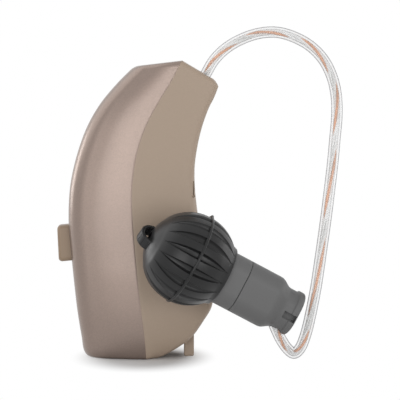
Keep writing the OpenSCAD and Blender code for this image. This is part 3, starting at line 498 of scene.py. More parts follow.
def dressed(node, name, bevel_mm=0.05):
    """A merged copy of a solid, with its edges broken as a tool or a mould leaves them."""
    clear_selection()
    source = frame["nodes"][node]
    piece = source if isinstance(source, bpy.types.Object) else bpy.data.objects[node]
    piece.select_set(True)
    bpy.context.view_layer.objects.active = piece
    bpy.ops.object.duplicate()
    copy = added(name)
    copy.data = copy.data.copy()
    edit(copy)
    bpy.ops.mesh.remove_doubles(threshold=1e-6)
    bpy.ops.mesh.dissolve_limited(angle_limit=math.radians(0.6))
    bpy.ops.mesh.normals_make_consistent(inside=False)
    leave()
    if bevel_mm:
        break_edges(copy, bevel_mm)
    return copy


def finish_piece(piece, body, slot, *nodes, angle=35):
    """Smooths a piece, gives it its material and slot, and hides the solids that it stands for."""
    take(piece)
    bpy.ops.object.shade_smooth_by_angle(angle=math.radians(angle))
    modify(piece, "WEIGHTED_NORMAL", keep_sharp=True)
    piece.data.materials.clear()
    piece.data.materials.append(finish_of(slot))
    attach(piece, body)
    if nodes:
        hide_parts(*nodes)
    return piece


# Materials


def add(tree, kind, links=None, **settings):
    """Adds a node. A setting is a property or a socket's value, and links maps sockets to outputs."""
    node = tree.nodes.new(kind)
    for key, value in settings.items():
        if hasattr(node, key):
            setattr(node, key, value)
        else:
            node.inputs[key.replace("_", " ")].default_value = value
    for key, output in (links or {}).items():
        tree.links.new(output, node.inputs[key])
    return node


def new_material(name):
    """A material with only an output, and its tree."""
    material = bpy.data.materials.new(name)
    material.use_nodes = True
    tree = material.node_tree
    tree.nodes.clear()
    return material, tree


def solid(colour):
    return (*colour, 1.0)


def shade(colour, factor):
    return tuple(min(1.0, c * factor) for c in colour)


def close(tree, **settings):
    """Adds the shader and the output; links come as settings that hold an output socket."""
    links = {k.replace("_", " "): v for k, v in settings.items()
             if isinstance(v, bpy.types.NodeSocket)}
    values = {k: v for k, v in settings.items() if not isinstance(v, bpy.types.NodeSocket)}
    shader = add(tree, "ShaderNodeBsdfPrincipled", links, **values)
    add(tree, "ShaderNodeOutputMaterial", {"Surface": shader.outputs[0]})
    return shader


# Size of the clouds of more and less gloss on moulded and sprayed pieces
CLOUD_MM = 9.0


def per_mm(length):
    """Scale of a pattern whose features are so many millimetres apart, on metres."""
    return 1000.0 / length


def grained(name, colour, grain_mm, spread, roughness, bump_um, **more):
    """A moulded or sprayed finish: fine grain in colour and height, and cloudy roughness."""
    material, tree = new_material(name)
    place = add(tree, "ShaderNodeTexCoord").outputs["Object"]
    grain = add(tree, "ShaderNodeTexNoise", {"Vector": place}, Scale=per_mm(grain_mm),
                Detail=4.0, Roughness=0.6).outputs["Fac"]
    cloud = add(tree, "ShaderNodeTexNoise", {"Vector": place}, Scale=per_mm(CLOUD_MM), Detail=2.0)
    tone = add(tree, "ShaderNodeMix", {"Factor": grain}, data_type="RGBA",
               A=solid(shade(colour, 1 - spread)), B=solid(shade(colour, 1 + spread)))
    gloss = add(tree, "ShaderNodeMapRange", {"Value": cloud.outputs["Fac"]},
                To_Min=roughness - 0.04, To_Max=roughness + 0.04)
    bump = add(tree, "ShaderNodeBump", {"Height": grain}, Strength=0.5, Distance=bump_um * 1e-6)
    close(tree, Base_Color=tone.outputs["Result"], Roughness=gloss.outputs["Result"],
          Normal=bump.outputs["Normal"], **more)
    return material


def pearl_lacquer(colour):
    """Sprayed pearl lacquer under a clear coat: tiny flakes sparkle, and the coat mirrors softly."""
    material, tree = new_material("sprayed pearl lacquer")
    place = add(tree, "ShaderNodeTexCoord").outputs["Object"]
    # Real flakes are finer than this, and would not show
    flake = add(tree, "ShaderNodeTexVoronoi", {"Vector": place}, Scale=per_mm(0.09))
    level = add(tree, "ShaderNodeSeparateColor", {"Color": flake.outputs["Color"]})
    tone = add(tree, "ShaderNodeMix", {"Factor": level.outputs["Red"]}, data_type="RGBA",
               A=solid(shade(colour, 0.95)), B=solid(shade(colour, 1.05)))
    gloss = add(tree, "ShaderNodeMapRange", {"Value": level.outputs["Green"]}, To_Min=0.33,
                To_Max=0.40)
    bump = add(tree, "ShaderNodeBump", {"Height": level.outputs["Blue"]}, Strength=0.2,
               Distance=1e-6)
    close(tree, Base_Color=tone.outputs["Result"], Roughness=gloss.outputs["Result"],
          Normal=bump.outputs["Normal"], Metallic=0.72, Coat_Weight=0.3, Coat_Roughness=0.14)
    return material


def clear_tube():
    """Extruded clear tube: clear where it faces the eye, with painted shade that turns it grey and
    less clear where its surface turns away, standing in for the dark edges of a clear tube."""
    material, tree = new_material("clear tube with painted edge shade")
    place = add(tree, "ShaderNodeTexCoord").outputs["Object"]
    haze = add(tree, "ShaderNodeTexNoise", {"Vector": place}, Scale=per_mm(1.4), Detail=2.0)
    gloss = add(tree, "ShaderNodeMapRange", {"Value": haze.outputs["Fac"]}, To_Min=0.02,
                To_Max=0.08)
    # Painted shade: the colour goes from near white to grey, and the tube less clear, as the surface
    # turns away from the eye
    along = add(tree, "ShaderNodeLayerWeight", Blend=0.5).outputs["Facing"]
    wall = add(tree, "ShaderNodeMapRange", {"Value": along}, interpolation_type="SMOOTHSTEP",
               From_Min=0.30, From_Max=0.68).outputs["Result"]
    tone = add(tree, "ShaderNodeMix", {"Factor": wall}, data_type="RGBA",
               A=solid(linear("#FAFAFA")), B=solid(linear("#7C7C80")))
    depth = add(tree, "ShaderNodeMapRange", {"Value": wall}, To_Min=0.16, To_Max=0.7)
    close(tree, Base_Color=tone.outputs["Result"], Roughness=gloss.outputs["Result"],
          Alpha=depth.outputs["Result"], IOR=1.45, Coat_Weight=0.5, Coat_Roughness=0.03)
    return material


def metal(name, colour, roughness, scratch_mm, across="X"):
    """Drawn or rolled metal: fine lines in one direction spread its reflections."""
    material, tree = new_material(name)
    place = add(tree, "ShaderNodeTexCoord").outputs["Object"]
    stretch = {"X": (0.06, 1, 1), "Y": (1, 0.06, 1), "Z": (1, 1, 0.06)}[across]
    turn = add(tree, "ShaderNodeMapping", {"Vector": place}, Scale=stretch)
    lines = add(tree, "ShaderNodeTexNoise", {"Vector": turn.outputs["Vector"]},
                Scale=per_mm(scratch_mm), Detail=3.0).outputs["Fac"]
    tone = add(tree, "ShaderNodeMix", {"Factor": lines}, data_type="RGBA",
               A=solid(shade(colour, 0.88)), B=solid(shade(colour, 1.08)))
    gloss = add(tree, "ShaderNodeMapRange", {"Value": lines}, To_Min=roughness - 0.05,
                To_Max=roughness + 0.05)
    close(tree, Base_Color=tone.outputs["Result"], Roughness=gloss.outputs["Result"],
          Metallic=1.0)
    return material


def lead_lacquer(name, colour, metallic):
    """Fine stranded lead under clear lacquer: the strands show as slanting light and dark lines."""
    material, tree = new_material(name)
    place = add(tree, "ShaderNodeTexCoord").outputs["Object"]
    strands = add(tree, "ShaderNodeTexWave", {"Vector": place}, Scale=per_mm(2.2) / 6.283,
                  Distortion=0.6, Detail=1.0, bands_direction="DIAGONAL")
    tone = add(tree, "ShaderNodeMix", {"Factor": strands.outputs["Fac"]}, data_type="RGBA",
               A=solid(shade(colour, 0.86)), B=solid(shade(colour, 1.06)))
    close(tree, Base_Color=tone.outputs["Result"], Roughness=0.38, Metallic=metallic,
          Coat_Weight=0.3, Coat_Roughness=0.15)
    return material


def board_laminate():
    """Printed circuit board: satin green solder mask over a faint grid of copper tracks."""
    material, tree = new_material("solder masked board")
    place = add(tree, "ShaderNodeTexCoord").outputs["Object"]
    tracks = add(tree, "ShaderNodeTexBrick", {"Vector": place}, Scale=per_mm(1.6),
                 Mortar_Size=0.03, Color1=solid(linear("#1E5A38")),
                 Color2=solid(linear("#1B5234")), Mortar=solid(linear("#3E7A4C")))
    close(tree, Base_Color=tracks.outputs["Color"], Roughness=0.35)
    return material


def make_materials():
    """Every finish of the object, by its slot's name."""
    c = colours()
    return {
        # Sprayed pearl lacquer: warm champagne with fine flakes under a clear coat
        "pearl_lacquer": pearl_lacquer(c["pearl"]),
        # Fine matt paint on polyamide: even and dry, with a light spray grain
        "tan_plastic": grained("matt spray paint", c["paint"], 0.18, 0.05, 0.52, 6),
        "drawer_plastic": grained("matt spray paint on the drawer", c["drawer"], 0.18, 0.05, 0.5,
                                  6),
        # Moulded polyamide, tumbled: a satin gloss on the button and the plug
        "button_plastic": grained("satin moulded button", c["button"], 0.22, 0.04, 0.42, 4),
        "plug_plastic": grained("satin moulded plug", linear("#8A8078"), 0.2, 0.04, 0.45, 4),
        # Polyamide from a spark eroded mould: a fine dull texture on the speaker housing
        "speaker_plastic": grained("spark textured polyamide", c["speaker"], 0.14, 0.05, 0.5, 5),
        # Moulded nylon: near black and satin, on the frame and the socket inside
        "chassis_nylon": grained("moulded black nylon", linear("#3A3A3C"), 0.3, 0.06, 0.5, 5),
        "socket_nylon": grained("moulded socket nylon", linear("#303032"), 0.25, 0.06, 0.5, 5),
        # Moulded acetal: clean white with a soft gloss
        "guard_plastic": grained("white moulded guard", linear("#EDEDEA"), 0.2, 0.02, 0.4, 3),
        # Moulded silicone: soft, slightly dusty black with a broad dull sheen
        "dome_silicone": grained("moulded silicone", c["silicone"], 0.25, 0.08, 0.35, 5,
                                 IOR=1.41, Sheen_Weight=0.05),
        # Moulded rubber: dark and dry, without a clear highlight
        "seal_rubber": grained("moulded rubber", linear("#2E2E2E"), 0.3, 0.08, 0.7, 6),
        "board_laminate": board_laminate(),
        # Moulded epoxy of the chips: matt black with a gritty grain
        "chip_epoxy": grained("moulded epoxy", linear("#26262A"), 0.1, 0.1, 0.6, 6),
        # Fired ceramic of the capacitors: matt brown
        "capacitor_ceramic": grained("fired ceramic", linear("#A08A66"), 0.12, 0.08, 0.55, 5),
        # Moulded nylon of the cell's seal: a blue ring with a soft gloss
        "cell_seal": grained("moulded cell seal", linear("#2A4C84"), 0.2, 0.05, 0.4, 3),
        "clear_tube": clear_tube(),
        # Rolled, drawn and ground metals: grey or gold, each with lines along its working direction
        "steel_sheet": metal("rolled steel sheet", linear("#C2C2BE"), 0.32, 0.12),
        "cell_steel": metal("nickel plated steel", linear("#CACACA"), 0.25, 0.15, "Z"),
        "pin_steel": metal("ground steel pin", linear("#B4B4B4"), 0.28, 0.1, "Y"),
        "zinc_gel": metal("packed zinc", linear("#8A8C90"), 0.6, 0.2),
        "gold_foil": metal("gold plated foil", linear("#D8B45C"), 0.3, 0.2),
        "gold_spring": metal("gold plated spring", linear("#DAB866"), 0.28, 0.15, "Z"),
        # Lacquered strands: copper coloured and silver white
        "copper_wire": lead_lacquer("lacquered copper strands", c["copper"], 0.1),
        "silver_wire": lead_lacquer("lacquered silver strands", c["silver"], 0.05),
    }


FINISHES = {}


def finish_of(slot):
    if not FINISHES:
        FINISHES.update(make_materials())
    return FINISHES[slot]


# Operators, one for each piece or group of like pieces


def shell(name, front):
    """A half shell: its skin is closed at both ends and given its wall inwards."""
    body = Body()
    skins = [body.skin(front)]
    count = len(skins[0]) - 1
    skins.append([body.station_ring(front, mix(FLOOR_STATION, CEILING_STATION, k / count),
                                    body.s["wall"]) for k in range(count + 1)])
    sheets = []
    for rows in skins:
        piece = sheet_of(name, rows)
        fill_ends(piece, [[c * MM for c in p] for p in rows[0]],
                  [[c * MM for c in p] for p in rows[-1]])
        sheets.append(piece)
    take(*sheets)
    bpy.ops.object.join()
    piece = added(name)
    edit(piece, lambda e: e.is_boundary, "EDGE")
    bpy.ops.mesh.bridge_edge_loops()
    leave()
    tidy(piece)
    # The two shells meet along the crease, where each has a finely rounded edge
    crest = body.s["body_w"] / 2 * 0.8 * MM
    edit(piece, lambda e: abs(e.verts[0].co.y) > crest and abs(e.verts[1].co.y) > crest
         and e.calc_face_angle(0.0) > math.radians(50)
         and abs(e.verts[0].co.z - e.verts[1].co.z) > 0.05 * MM, "EDGE")
    bpy.ops.mesh.bevel(offset=body.s["crease_r"] * MM, segments=2, affect="EDGES")
    leave()
    return piece, body


class AID_OT_back_cover(bpy.types.Operator):
    """Back cover: pearl shell with the windows of the button, the microphones and the latch"""

    bl_idname = "aid.back_cover"
    bl_label = "Back cover"

    def execute(self, context):
        piece, body = shell("pearl_back_cover", False)
        s = body.s
        gap, port_d, latch_w, latch_h = 0.06, 0.7, 1.2, 0.4
        cutters = [bar("button_window", (3, s["button_w"] + 2 * gap, s["button_h"] + 2 * gap),
                       body.at_back(BUTTON_STATION))]
        for u in MICROPHONE_STATIONS:
            cutters.append(rod("port", port_d, 4 * s["wall"], body.at_back(u),
                               turn=(0, math.pi / 2, 0)))
        cutters.append(bar("latch_window", (s["wall"], latch_w, latch_h),
                           body.at_back(LATCH_STATION)))
        cut(piece, *cutters)
        finish_piece(piece, "aid", "pearl_lacquer", "back_cover")
        return {"FINISHED"}


class AID_OT_front_housing(bpy.types.Operator):
    """Front housing: painted shell with the drawer's opening, the wire's mouth and the pin hole"""

    bl_idname = "aid.front_housing"
    bl_label = "Front housing"

    def execute(self, context):
        piece, body = shell("painted_front_housing", True)
        s = body.s
        knuckle = 1.6
        over_knuckle = 0.35
        foot = 0.268 * s["body_d"]
        ridge = spline(body.ridge, HINGE_STATION)
        end = body.end(True, HINGE_STATION)
        hinge = end + (ridge - end).normalized() * knuckle / 2
        top = hinge.y + knuckle / 2 + over_knuckle
        opening = bar("drawer_opening", (s["body_d"], s["door_w"], top + 1), Matrix.Identity(4),
                      centre=(foot + s["body_d"] / 2, 0, (top - 1) / 2))
        mouth_d, lock_d, lock_l, lock_depth = 1.54, 0.64, 3.9, 3.3
        mouth = rod("mouth", mouth_d, 4 * s["wall"], body.at_mouth())
        lock = rod("lock_hole", lock_d, lock_l, body.at_mouth(),
                   centre=(lock_l / 2, 0, -lock_depth), turn=(0, math.pi / 2, 0))
        cut(piece, opening, mouth, lock)
        # Narrow slots in both corners beside the drawer's knuckle, each with a round end
        slot_w, slot_l, slot_reach, dot_d, slot_depth = 0.14, 1.5, 4, 0.3, 0.09
        edge = end + (ridge - end).normalized() * slot_depth
        inner = s["door_w"] / 2 + slot_w
        for side in (-1, 1):
            middle = side * (inner + slot_reach / 2)
            slot_cut = bar("slot", (slot_w, slot_reach, slot_l), Matrix.Identity(4),
                           centre=(edge.x - slot_w / 2, middle, hinge.y + slot_l / 2))
            dot = rod("dot", dot_d, slot_reach, Matrix.Identity(4),
                      centre=(edge.x - slot_w / 2, middle, hinge.y), turn=(math.pi / 2, 0, 0),
                      sides=24)
            cut(piece, slot_cut, dot)
        boss_d, boss_l = 1.3, 0.35
        for side in (-1, 1):
            at_boss = body.place(hinge, 0, side * (s["door_w"] / 2 + boss_l / 2))
            boss = rod("boss", boss_d, boss_l, at_boss, turn=(math.pi / 2, 0, 0))
            cut(piece, boss, operation="UNION")
        finish_piece(piece, "aid", "tan_plastic", "front_housing")
        return {"FINISHED"}


class AID_OT_push_button(bpy.types.Operator):
    """Push button: rounded cap that leans a little, with its flange and post"""

    bl_idname = "aid.push_button"
    bl_label = "Push button"

    def execute(self, context):
        body = Body()
        s = body.s
        wall = s["wall"]
        side_r, face_r, lean, reach = 0.45, 0.32, 0.18, 0.3
        flange_t, flange_out, post_d, post_l = 0.35, 0.6, 1.0, 0.6
        length = s["button_out"] + wall + reach
        cap = bar("push_button_cap", (length, s["button_w"], s["button_h"]), Matrix.Identity(4),
                  centre=(length / 2 - s["button_out"], 0, 0))
        edit(cap, lambda e: abs(e.verts[0].co.x - e.verts[1].co.x) > 0.1 * MM, "EDGE")
        bpy.ops.mesh.bevel(offset=side_r * MM, segments=6, affect="EDGES")
        leave()
        edit(cap, lambda e: all(v.co.x < (-s["button_out"] + 0.01) * MM for v in e.verts)
             and any(abs(f.normal.x) < 0.5 for f in e.link_faces), "EDGE")
        bpy.ops.mesh.bevel(offset=face_r * MM, segments=5, affect="EDGES")
        leave()
        # The lower end of the cap stands out a little more
        for vert in cap.data.vertices:
            if vert.co.x < 0:
                share = -vert.co.x / (s["button_out"] * MM)
                vert.co.x -= lean * MM * share * (0.5 - vert.co.z / (s["button_h"] * MM))
        flange = bar("flange", (flange_t, s["button_w"] + flange_out, s["button_h"] + flange_out),
                     Matrix.Identity(4), centre=(wall + flange_t, 0, 0), round_mm=0.06)
        post = rod("post", post_d, post_l, Matrix.Identity(4), centre=(wall + 0.65, 0, 0),
                   turn=(0, math.pi / 2, 0))
        cut(cap, flange, post, operation="UNION")
        settle(cap, body.at_back(BUTTON_STATION))
        cap.name = "satin_push_button"
        finish_piece(cap, "button", "button_plastic", "push_button")
        return {"FINISHED"}


class AID_OT_battery_drawer(bpy.types.Operator):
    """Battery drawer: painted wall, cell ring, hinge knuckle and finger tab with broken edges"""

    bl_idname = "aid.battery_drawer"
    bl_label = "Battery drawer"

    def execute(self, context):
        piece = dressed("battery_drawer", "painted_battery_drawer", 0)
        # The finger tab under the body is rounded more than the rest
        tab_top, tab_back, tab_r, edge_r = 2.0, 6.0, 0.24, 0.05
        edit(piece, lambda e: all(v.co.z < tab_top * MM and v.co.x > tab_back * MM
                                  for v in e.verts)
             and e.calc_face_angle(0.0) > math.radians(60), "EDGE")
        bpy.ops.mesh.bevel(offset=tab_r * MM, segments=4, affect="EDGES", clamp_overlap=True)
        leave()
        break_edges(piece, edge_r)
        finish_piece(piece, "drawer", "drawer_plastic", "battery_drawer")
        return {"FINISHED"}


class AID_OT_ear_wire(bpy.types.Operator):
    """Ear wire: clear tube with its bore and the three leads that twist inside it"""

    bl_idname = "aid.ear_wire"
    bl_label = "Ear wire"

    def execute(self, context):
        wire = Wire()
        s = sizes()
        rings = 260
        rows = [wire.ring(k / rings, s["wire_d"] / 2, 28) for k in range(rings + 1)]
        rows += [wire.ring(k / rings, s["wire_bore"] / 2, 28) for k in range(rings, -1, -1)]
        tube = sheet_of("clear_ear_wire", rows + rows[:1])
        tidy(tube)
        finish_piece(tube, "aid", "clear_tube", "ear_wire_tube")
        turns = wire.length / s["lead_pitch"]
        count = 420
        for index, node in enumerate(("copper_lead", "silver_lead", "signal_lead")):
            rows = []
            for k in range(count + 1):
                t = k / count
                a = 2 * math.pi * (turns * t + index / 3)
                off = s["lead_d"] * LEAD_OFFSET
                middle = (off * math.cos(a), off * math.sin(a))
                rows.append(wire.ring(t, s["lead_d"] / 2, 12, middle, a))
            lead = sheet_of("twisted_" + node, rows)
            tidy(lead)
            close_ends(lead)
            slot = "copper_wire" if index == 0 else "silver_wire"
            finish_piece(lead, "aid", slot, node)
        return {"FINISHED"}


SECTION_R = 1.7
SEAM_Z, SHOULDER_Z, REAR_Z = 5.5, 9.1, 11.8
REAR_W, REAR_T, REAR_ROUND = 4.5, 3.8, 0.3
RIM_Z, GRIP_L = 3.7, 1.6
NOZZLE_D, NOZZLE_L, NOZZLE_TIP = 2.8, 4.95, 2.8


def section(z, w, t, r, steps=10):
    """A rounded rectangle at a height along the speaker's axis; its last point is its first."""
    points = []
    for c in range(4):
        cx = w / 2 - r if c in (0, 3) else r - w / 2
        cy = t / 2 - r if c < 2 else r - t / 2
        for k in range(steps + 1):
            a = math.pi / 2 * (c + k / steps)
            points.append((cx + r * math.cos(a), cy + r * math.sin(a), z))
    return points + points[:1]


def rear_profile(s):
    """Rows of the rear half: straight, shoulder, waist, and the rear rim."""
    w, t = s["speaker_w"], s["speaker_t"]
    edge = 0.06
    rows = [section(SEAM_Z + 0.02, w - 2 * edge, t - 2 * edge, SECTION_R - edge),
            section(SEAM_Z + 0.02 + edge * 0.4, w - edge * 0.7, t - edge * 0.7, SECTION_R),
            section(SEAM_Z + 0.02 + edge, w, t, SECTION_R)]
    for k in range(1, 9):
        rows.append(section(mix(SEAM_Z + 0.1, SHOULDER_Z - 0.3, k / 8), w, t, SECTION_R))
    # The shoulder rolls over into the waist
    for k in range(1, 15):
        u = k / 14
        ease = (1 - math.cos(math.pi * u)) / 2
        rows.append(section(mix(SHOULDER_Z - 0.3, ENTRY_Z, u), mix(w, NECK_W, ease),
                            mix(t, NECK_T, ease), SECTION_R))
    low, high = mix(ENTRY_Z, REAR_Z, 0.45), mix(ENTRY_Z, REAR_Z, 0.6)
    for k in range(1, 4):
        rows.append(section(mix(ENTRY_Z, low, k / 3), NECK_W, NECK_T, SECTION_R))
    for k in range(1, 6):
        u = k / 5
        ease = (1 - math.cos(math.pi * u)) / 2
        rows.append(section(mix(low, high, u), mix(NECK_W, REAR_W, ease),
                            mix(NECK_T, REAR_T, ease), SECTION_R))
    rows.append(section(mix(high, REAR_Z - REAR_ROUND, 0.6), REAR_W, REAR_T, SECTION_R))
    for k in range(0, 7):
        a = math.pi / 2 * k / 6
        off = REAR_ROUND * (1 - math.cos(a))
        rows.append(section(REAR_Z - REAR_ROUND + REAR_ROUND * math.sin(a), REAR_W - 2 * off,
                            REAR_T - 2 * off, SECTION_R - off))
    return rows


def prism(name, z_low, z_high, w, t, r, matrix):
    """A closed bar whose section is a rounded rectangle."""
    piece = sheet_of(name, [section(z_low, w, t, r), section(z_high, w, t, r)])
    tidy(piece)
    close_ends(piece)
    return settle(piece, matrix)


class AID_OT_speaker(bpy.types.Operator):
    """Speaker housing: front and rear halves with their split line, neck, rear rim and slot"""

    bl_idname = "aid.speaker"
    bl_label = "Speaker housing"

    def execute(self, context):
        s = sizes()
        ear = at_ear()
        wall = 0.45
        rear = sheet_of("rear_speaker_shell", rear_profile(s))
        tidy(rear)
        close_ends(rear)
        settle(rear, ear)
        room = prism("capsule_room", SEAM_Z - 1, SHOULDER_Z, s["speaker_w"] - 2 * wall,
                     s["speaker_t"] - 2 * wall, SECTION_R - wall, ear)
        slot_w, slot_depth, slot_l = 0.7, 0.75, 1.33
        slot_cut = bar("slot", (slot_w, 2 * slot_depth, slot_l), ear,
                       centre=(0.4, -REAR_T / 2, REAR_Z - 0.785))
        wire = Wire()
        run = wire.frame(1.0)[0]
        start = wire.end - run * NECK_W
        hole_at = Matrix.Translation(start.lerp(wire.end, 0.5) * MM) @ run.to_track_quat(
            "Z", "Y").to_matrix().to_4x4()
        hole = rod("wire_hole", s["wire_d"] + 0.04, NECK_W, hole_at)
        cut(rear, room, slot_cut, hole)
        finish_piece(rear, "aid", "speaker_plastic", "speaker_rear_shell")
        front_rows = []
        z0, z1, edge = RIM_Z - GRIP_L, SEAM_Z - 0.015, 0.04
        for z, off in ((z0, 0.1), (z0 + 0.05, 0.03), (z0 + 0.12, 0), (z1 - edge, 0),
                       (z1 - edge * 0.4, edge * 0.35), (z1, edge)):
            front_rows.append(section(z, s["speaker_w"] - 2 * off, s["speaker_t"] - 2 * off,
                                      SECTION_R - off))
        front = sheet_of("front_speaker_shell", front_rows)
        tidy(front)
        close_ends(front)
        nozzle = rod("nozzle", NOZZLE_D, NOZZLE_L, Matrix.Identity(4),
                     centre=(0, 0, -NOZZLE_TIP + NOZZLE_L / 2))
        cut(front, nozzle, operation="UNION")
        settle(front, ear)
        room = prism("capsule_room", RIM_Z, SEAM_Z + 1, s["speaker_w"] - 2 * wall,
                     s["speaker_t"] - 2 * wall, SECTION_R - wall, ear)
        bore = rod("spout_bore", 1.74, 8, ear, centre=(0, 0, 0.5))
        cut(front, room, bore)
        finish_piece(front, "aid", "speaker_plastic", "speaker_front_shell")
        return {"FINISHED"}


RIBS = 18
FLUTE_END = 50
FLUTE_PROFILE = ((-1.0, 0.0), (-0.82, 0.55), (-0.5, 0.88), (0.0, 1.0), (0.5, 0.88), (0.82, 0.55),
                 (1.0, 0.0))
BELT_AT = 1.0
BAND_Z, BAND_D = 3.35, 6.0
HOOP_Z, HOOP_R, HOOP_T, HOOP_W, HOOP_TURN = 4.25, 1.05, 0.35, 1.2, -53


def dome_ring(s, lat, out, fluted, r_fixed=None, z_fixed=None):
    """A ring of the dome's skin at a latitude, with its flutes; its last point is its first."""
    pitch = 2 * math.pi / RIBS
    share = 0.0
    if fluted and abs(lat) < FLUTE_END:
        share = max(math.cos(math.radians(90 * lat / FLUTE_END)), 0) ** 0.8
    half = pitch * max(0.27 * share, 0.02)
    r = s["dome_d"] / 2 * math.cos(math.radians(lat)) + out if r_fixed is None else r_fixed
    z = s["dome_d"] / 2 * math.sin(math.radians(lat)) if z_fixed is None else z_fixed
    points = []
    for k in range(RIBS):
        middle = pitch * k
        for e, d in FLUTE_PROFILE:
            depth = s["flute_depth"] * share * d
            a = middle + e * half
            points.append(((r - depth) * math.cos(a), (r - depth) * math.sin(a), z))
        for t in (0.08, 0.5, 0.92):
            a = middle + half + (pitch - 2 * half) * t
            points.append((r * math.cos(a), r * math.sin(a), z))
    return points + points[:1]


def dome_rows(s):
    """Rows of the dome's skin from the tip to the rear band."""
    rows = []
    for lat in (-82, -78, -74, -70, -66, -62, -58):
        rows.append(dome_ring(s, lat, -0.08, False))
    # Shoulder where the smooth cap meets the ribbed wall
    for lat, out in ((-56, -0.075), (-54.5, -0.05), (-53, -0.02), (-51.5, 0)):
        rows.append(dome_ring(s, lat, out, False))
    for k in range(18):
        rows.append(dome_ring(s, mix(-49.5, -3, k / 17), 0, True))
    half = math.degrees(s["belt_w"] / s["dome_d"])
    rows.append(dome_ring(s, BELT_AT - half, 0, True))
    for k in range(9):
        a = math.pi * (k / 8)
        rows.append(dome_ring(s, BELT_AT - half * math.cos(a),
                              s["belt_out"] * (0.35 + 0.65 * math.sin(a)), False))
    rows.append(dome_ring(s, BELT_AT + half, 0, True))
    for k in range(14):
        rows.append(dome_ring(s, mix(5, 46, k / 13), 0, True))
    # Rounded rear rim that grips the speaker
    for k in range(7):
        a = math.pi / 2 * k / 6
        rows.append(dome_ring(s, 0, 0, False, BAND_D / 2 - 0.12 + 0.12 * math.cos(a),
                              RIM_Z - 0.12 + 0.12 * math.sin(a)))
    return rows


class AID_OT_dome(bpy.types.Operator):
    """Dome: soft skin with flutes, belt and hoop, hollow round the sleeve that grips the nozzle"""

    bl_idname = "aid.dome"
    bl_label = "Silicone dome"

    def execute(self, context):
        s = sizes()
        rows = dome_rows(s)
        dome = sheet_of("ribbed_silicone_dome", rows)
        tidy(dome)
        # A small nub stands on the belt at the top
        for vert in dome.data.vertices:
            p = vert.co / MM
            r = math.hypot(p.x, p.y)
            if p.x < 0 and r > s["dome_d"] / 2 + 0.02:
                a = math.degrees(math.atan2(p.y, -p.x))
                lift = 0.14 * math.exp(-(a / 2.6) ** 2)
                vert.co.x += p.x / r * lift * MM
                vert.co.y += p.y / r * lift * MM
        close_ends(dome)
        wall, fit, sleeve_wall, sleeve_l, floor_z = 0.6, 0.12, 1.0, 3.7, 3.2
        inner = s["dome_d"] / 2 - wall
        # Hollow between the wall and the sleeve: a ball without its ends and its middle
        clear_selection()
        bpy.ops.mesh.primitive_uv_sphere_add(segments=48, ring_count=32, radius=inner * MM)
        hollow = added("hollow")
        for low, normal in ((-floor_z, (0, 0, -1)), (RIM_Z - GRIP_L, (0, 0, 1))):
            edit(hollow)
            bpy.ops.mesh.bisect(plane_co=(0, 0, low * MM), plane_no=normal, use_fill=True,
                                clear_outer=True)
            leave()
        sleeve = rod("sleeve", NOZZLE_D + fit + sleeve_wall, sleeve_l, Matrix.Identity(4),
                     centre=(0, 0, -sleeve_l / 2))
        bore = rod("bore", NOZZLE_D + fit, 8, Matrix.Identity(4), centre=(0, 0, 4 - floor_z))
        cut(hollow, sleeve)
        outlet = rod("outlet", 1.3, 5, Matrix.Identity(4), centre=(0, 0, -4.4))
        seat = prism("seat", RIM_Z - GRIP_L - 0.02, RIM_Z + 2, s["speaker_w"] + fit,
                     s["speaker_t"] + fit, SECTION_R + fit / 2, Matrix.Identity(4))
        cut(dome, hollow, bore, outlet, seat)
        # Hoop over the outlet: its strap's section is spun half round about the loop's middle
        hoop = bar("hoop", (HOOP_T, HOOP_W, 0.02), Matrix.Identity(4), centre=(HOOP_R, 0, -HOOP_Z))
        edit(hoop, lambda e: abs(e.verts[0].co.z - e.verts[1].co.z) > 1e-6, "EDGE")
        bpy.ops.mesh.bevel(offset=0.11 * MM, segments=4, affect="EDGES")
        leave()
        edit(hoop, lambda f: f.normal.z > -0.5)
        bpy.ops.mesh.delete(type="ONLY_FACE")
        leave()
        edit(hoop)
        bpy.ops.mesh.spin(steps=36, angle=math.pi, center=(0, 0, -HOOP_Z * MM), axis=(0, -1, 0))
        leave()
        edit(hoop)
        bpy.ops.mesh.remove_doubles(threshold=DOUBLES)
        bpy.ops.mesh.delete_loose(use_verts=True, use_edges=True, use_faces=False)
        leave()
        close_ends(hoop)
        settle(hoop, Matrix.Rotation(math.radians(HOOP_TURN), 4, "Z"))
        cut(dome, hoop, operation="UNION")
        settle(dome, at_ear())
        finish_piece(dome, "dome", "dome_silicone", "ear_dome", angle=28)
        return {"FINISHED"}


class AID_OT_small_parts(bpy.types.Operator):
    """Plug, pins, guard and the cell with their edges broken; these and the contacts, microphones
    and other solids each get their own finish
    """

    bl_idname = "aid.small_parts"
    bl_label = "Small parts"

    def execute(self, context):
        slots = {row["node"]: row["material_slot"] for row in frame["record"]["subparts"]}
        bodies = {node: body for body, names in frame["record"]["behaviour"]["bodies"].items()
                  for node in names}
        rounded = {
            "wire_plug": 0.04, "lock_pin": 0.05, "hinge_pin": 0.05, "battery_can": 0.12,
            "battery_cap": 0.1, "battery_seal": 0.04, "wax_guard": 0.04,
        }
        for node, bevel in rounded.items():
            piece = dressed(node, "finished_" + node, bevel)
            finish_piece(piece, bodies[node], slots[node], node)
        done = {n for o in bpy.data.objects for n in str(o.get("replaces", "")).split()}
        for node, slot in slots.items():
            if node in rounded or node in done:
                continue
            solid_object = bpy.data.objects[node]
            solid_object.data.materials.clear()
            solid_object.data.materials.append(finish_of(slot))
        return {"FINISHED"}


def sees_backdrop(tree):
    """One for rays from the camera, a mirror or a clear piece, which all see the white backdrop."""
    path = add(tree, "ShaderNodeLightPath")
    direct = add(tree, "ShaderNodeMath", {0: path.outputs["Is Camera Ray"],
                                          1: path.outputs["Is Glossy Ray"]},
                 operation="MAXIMUM")
    every = add(tree, "ShaderNodeMath", {0: direct.outputs[0],
                                         1: path.outputs["Is Transmission Ray"]},
                operation="MAXIMUM")
    return every.outputs[0]


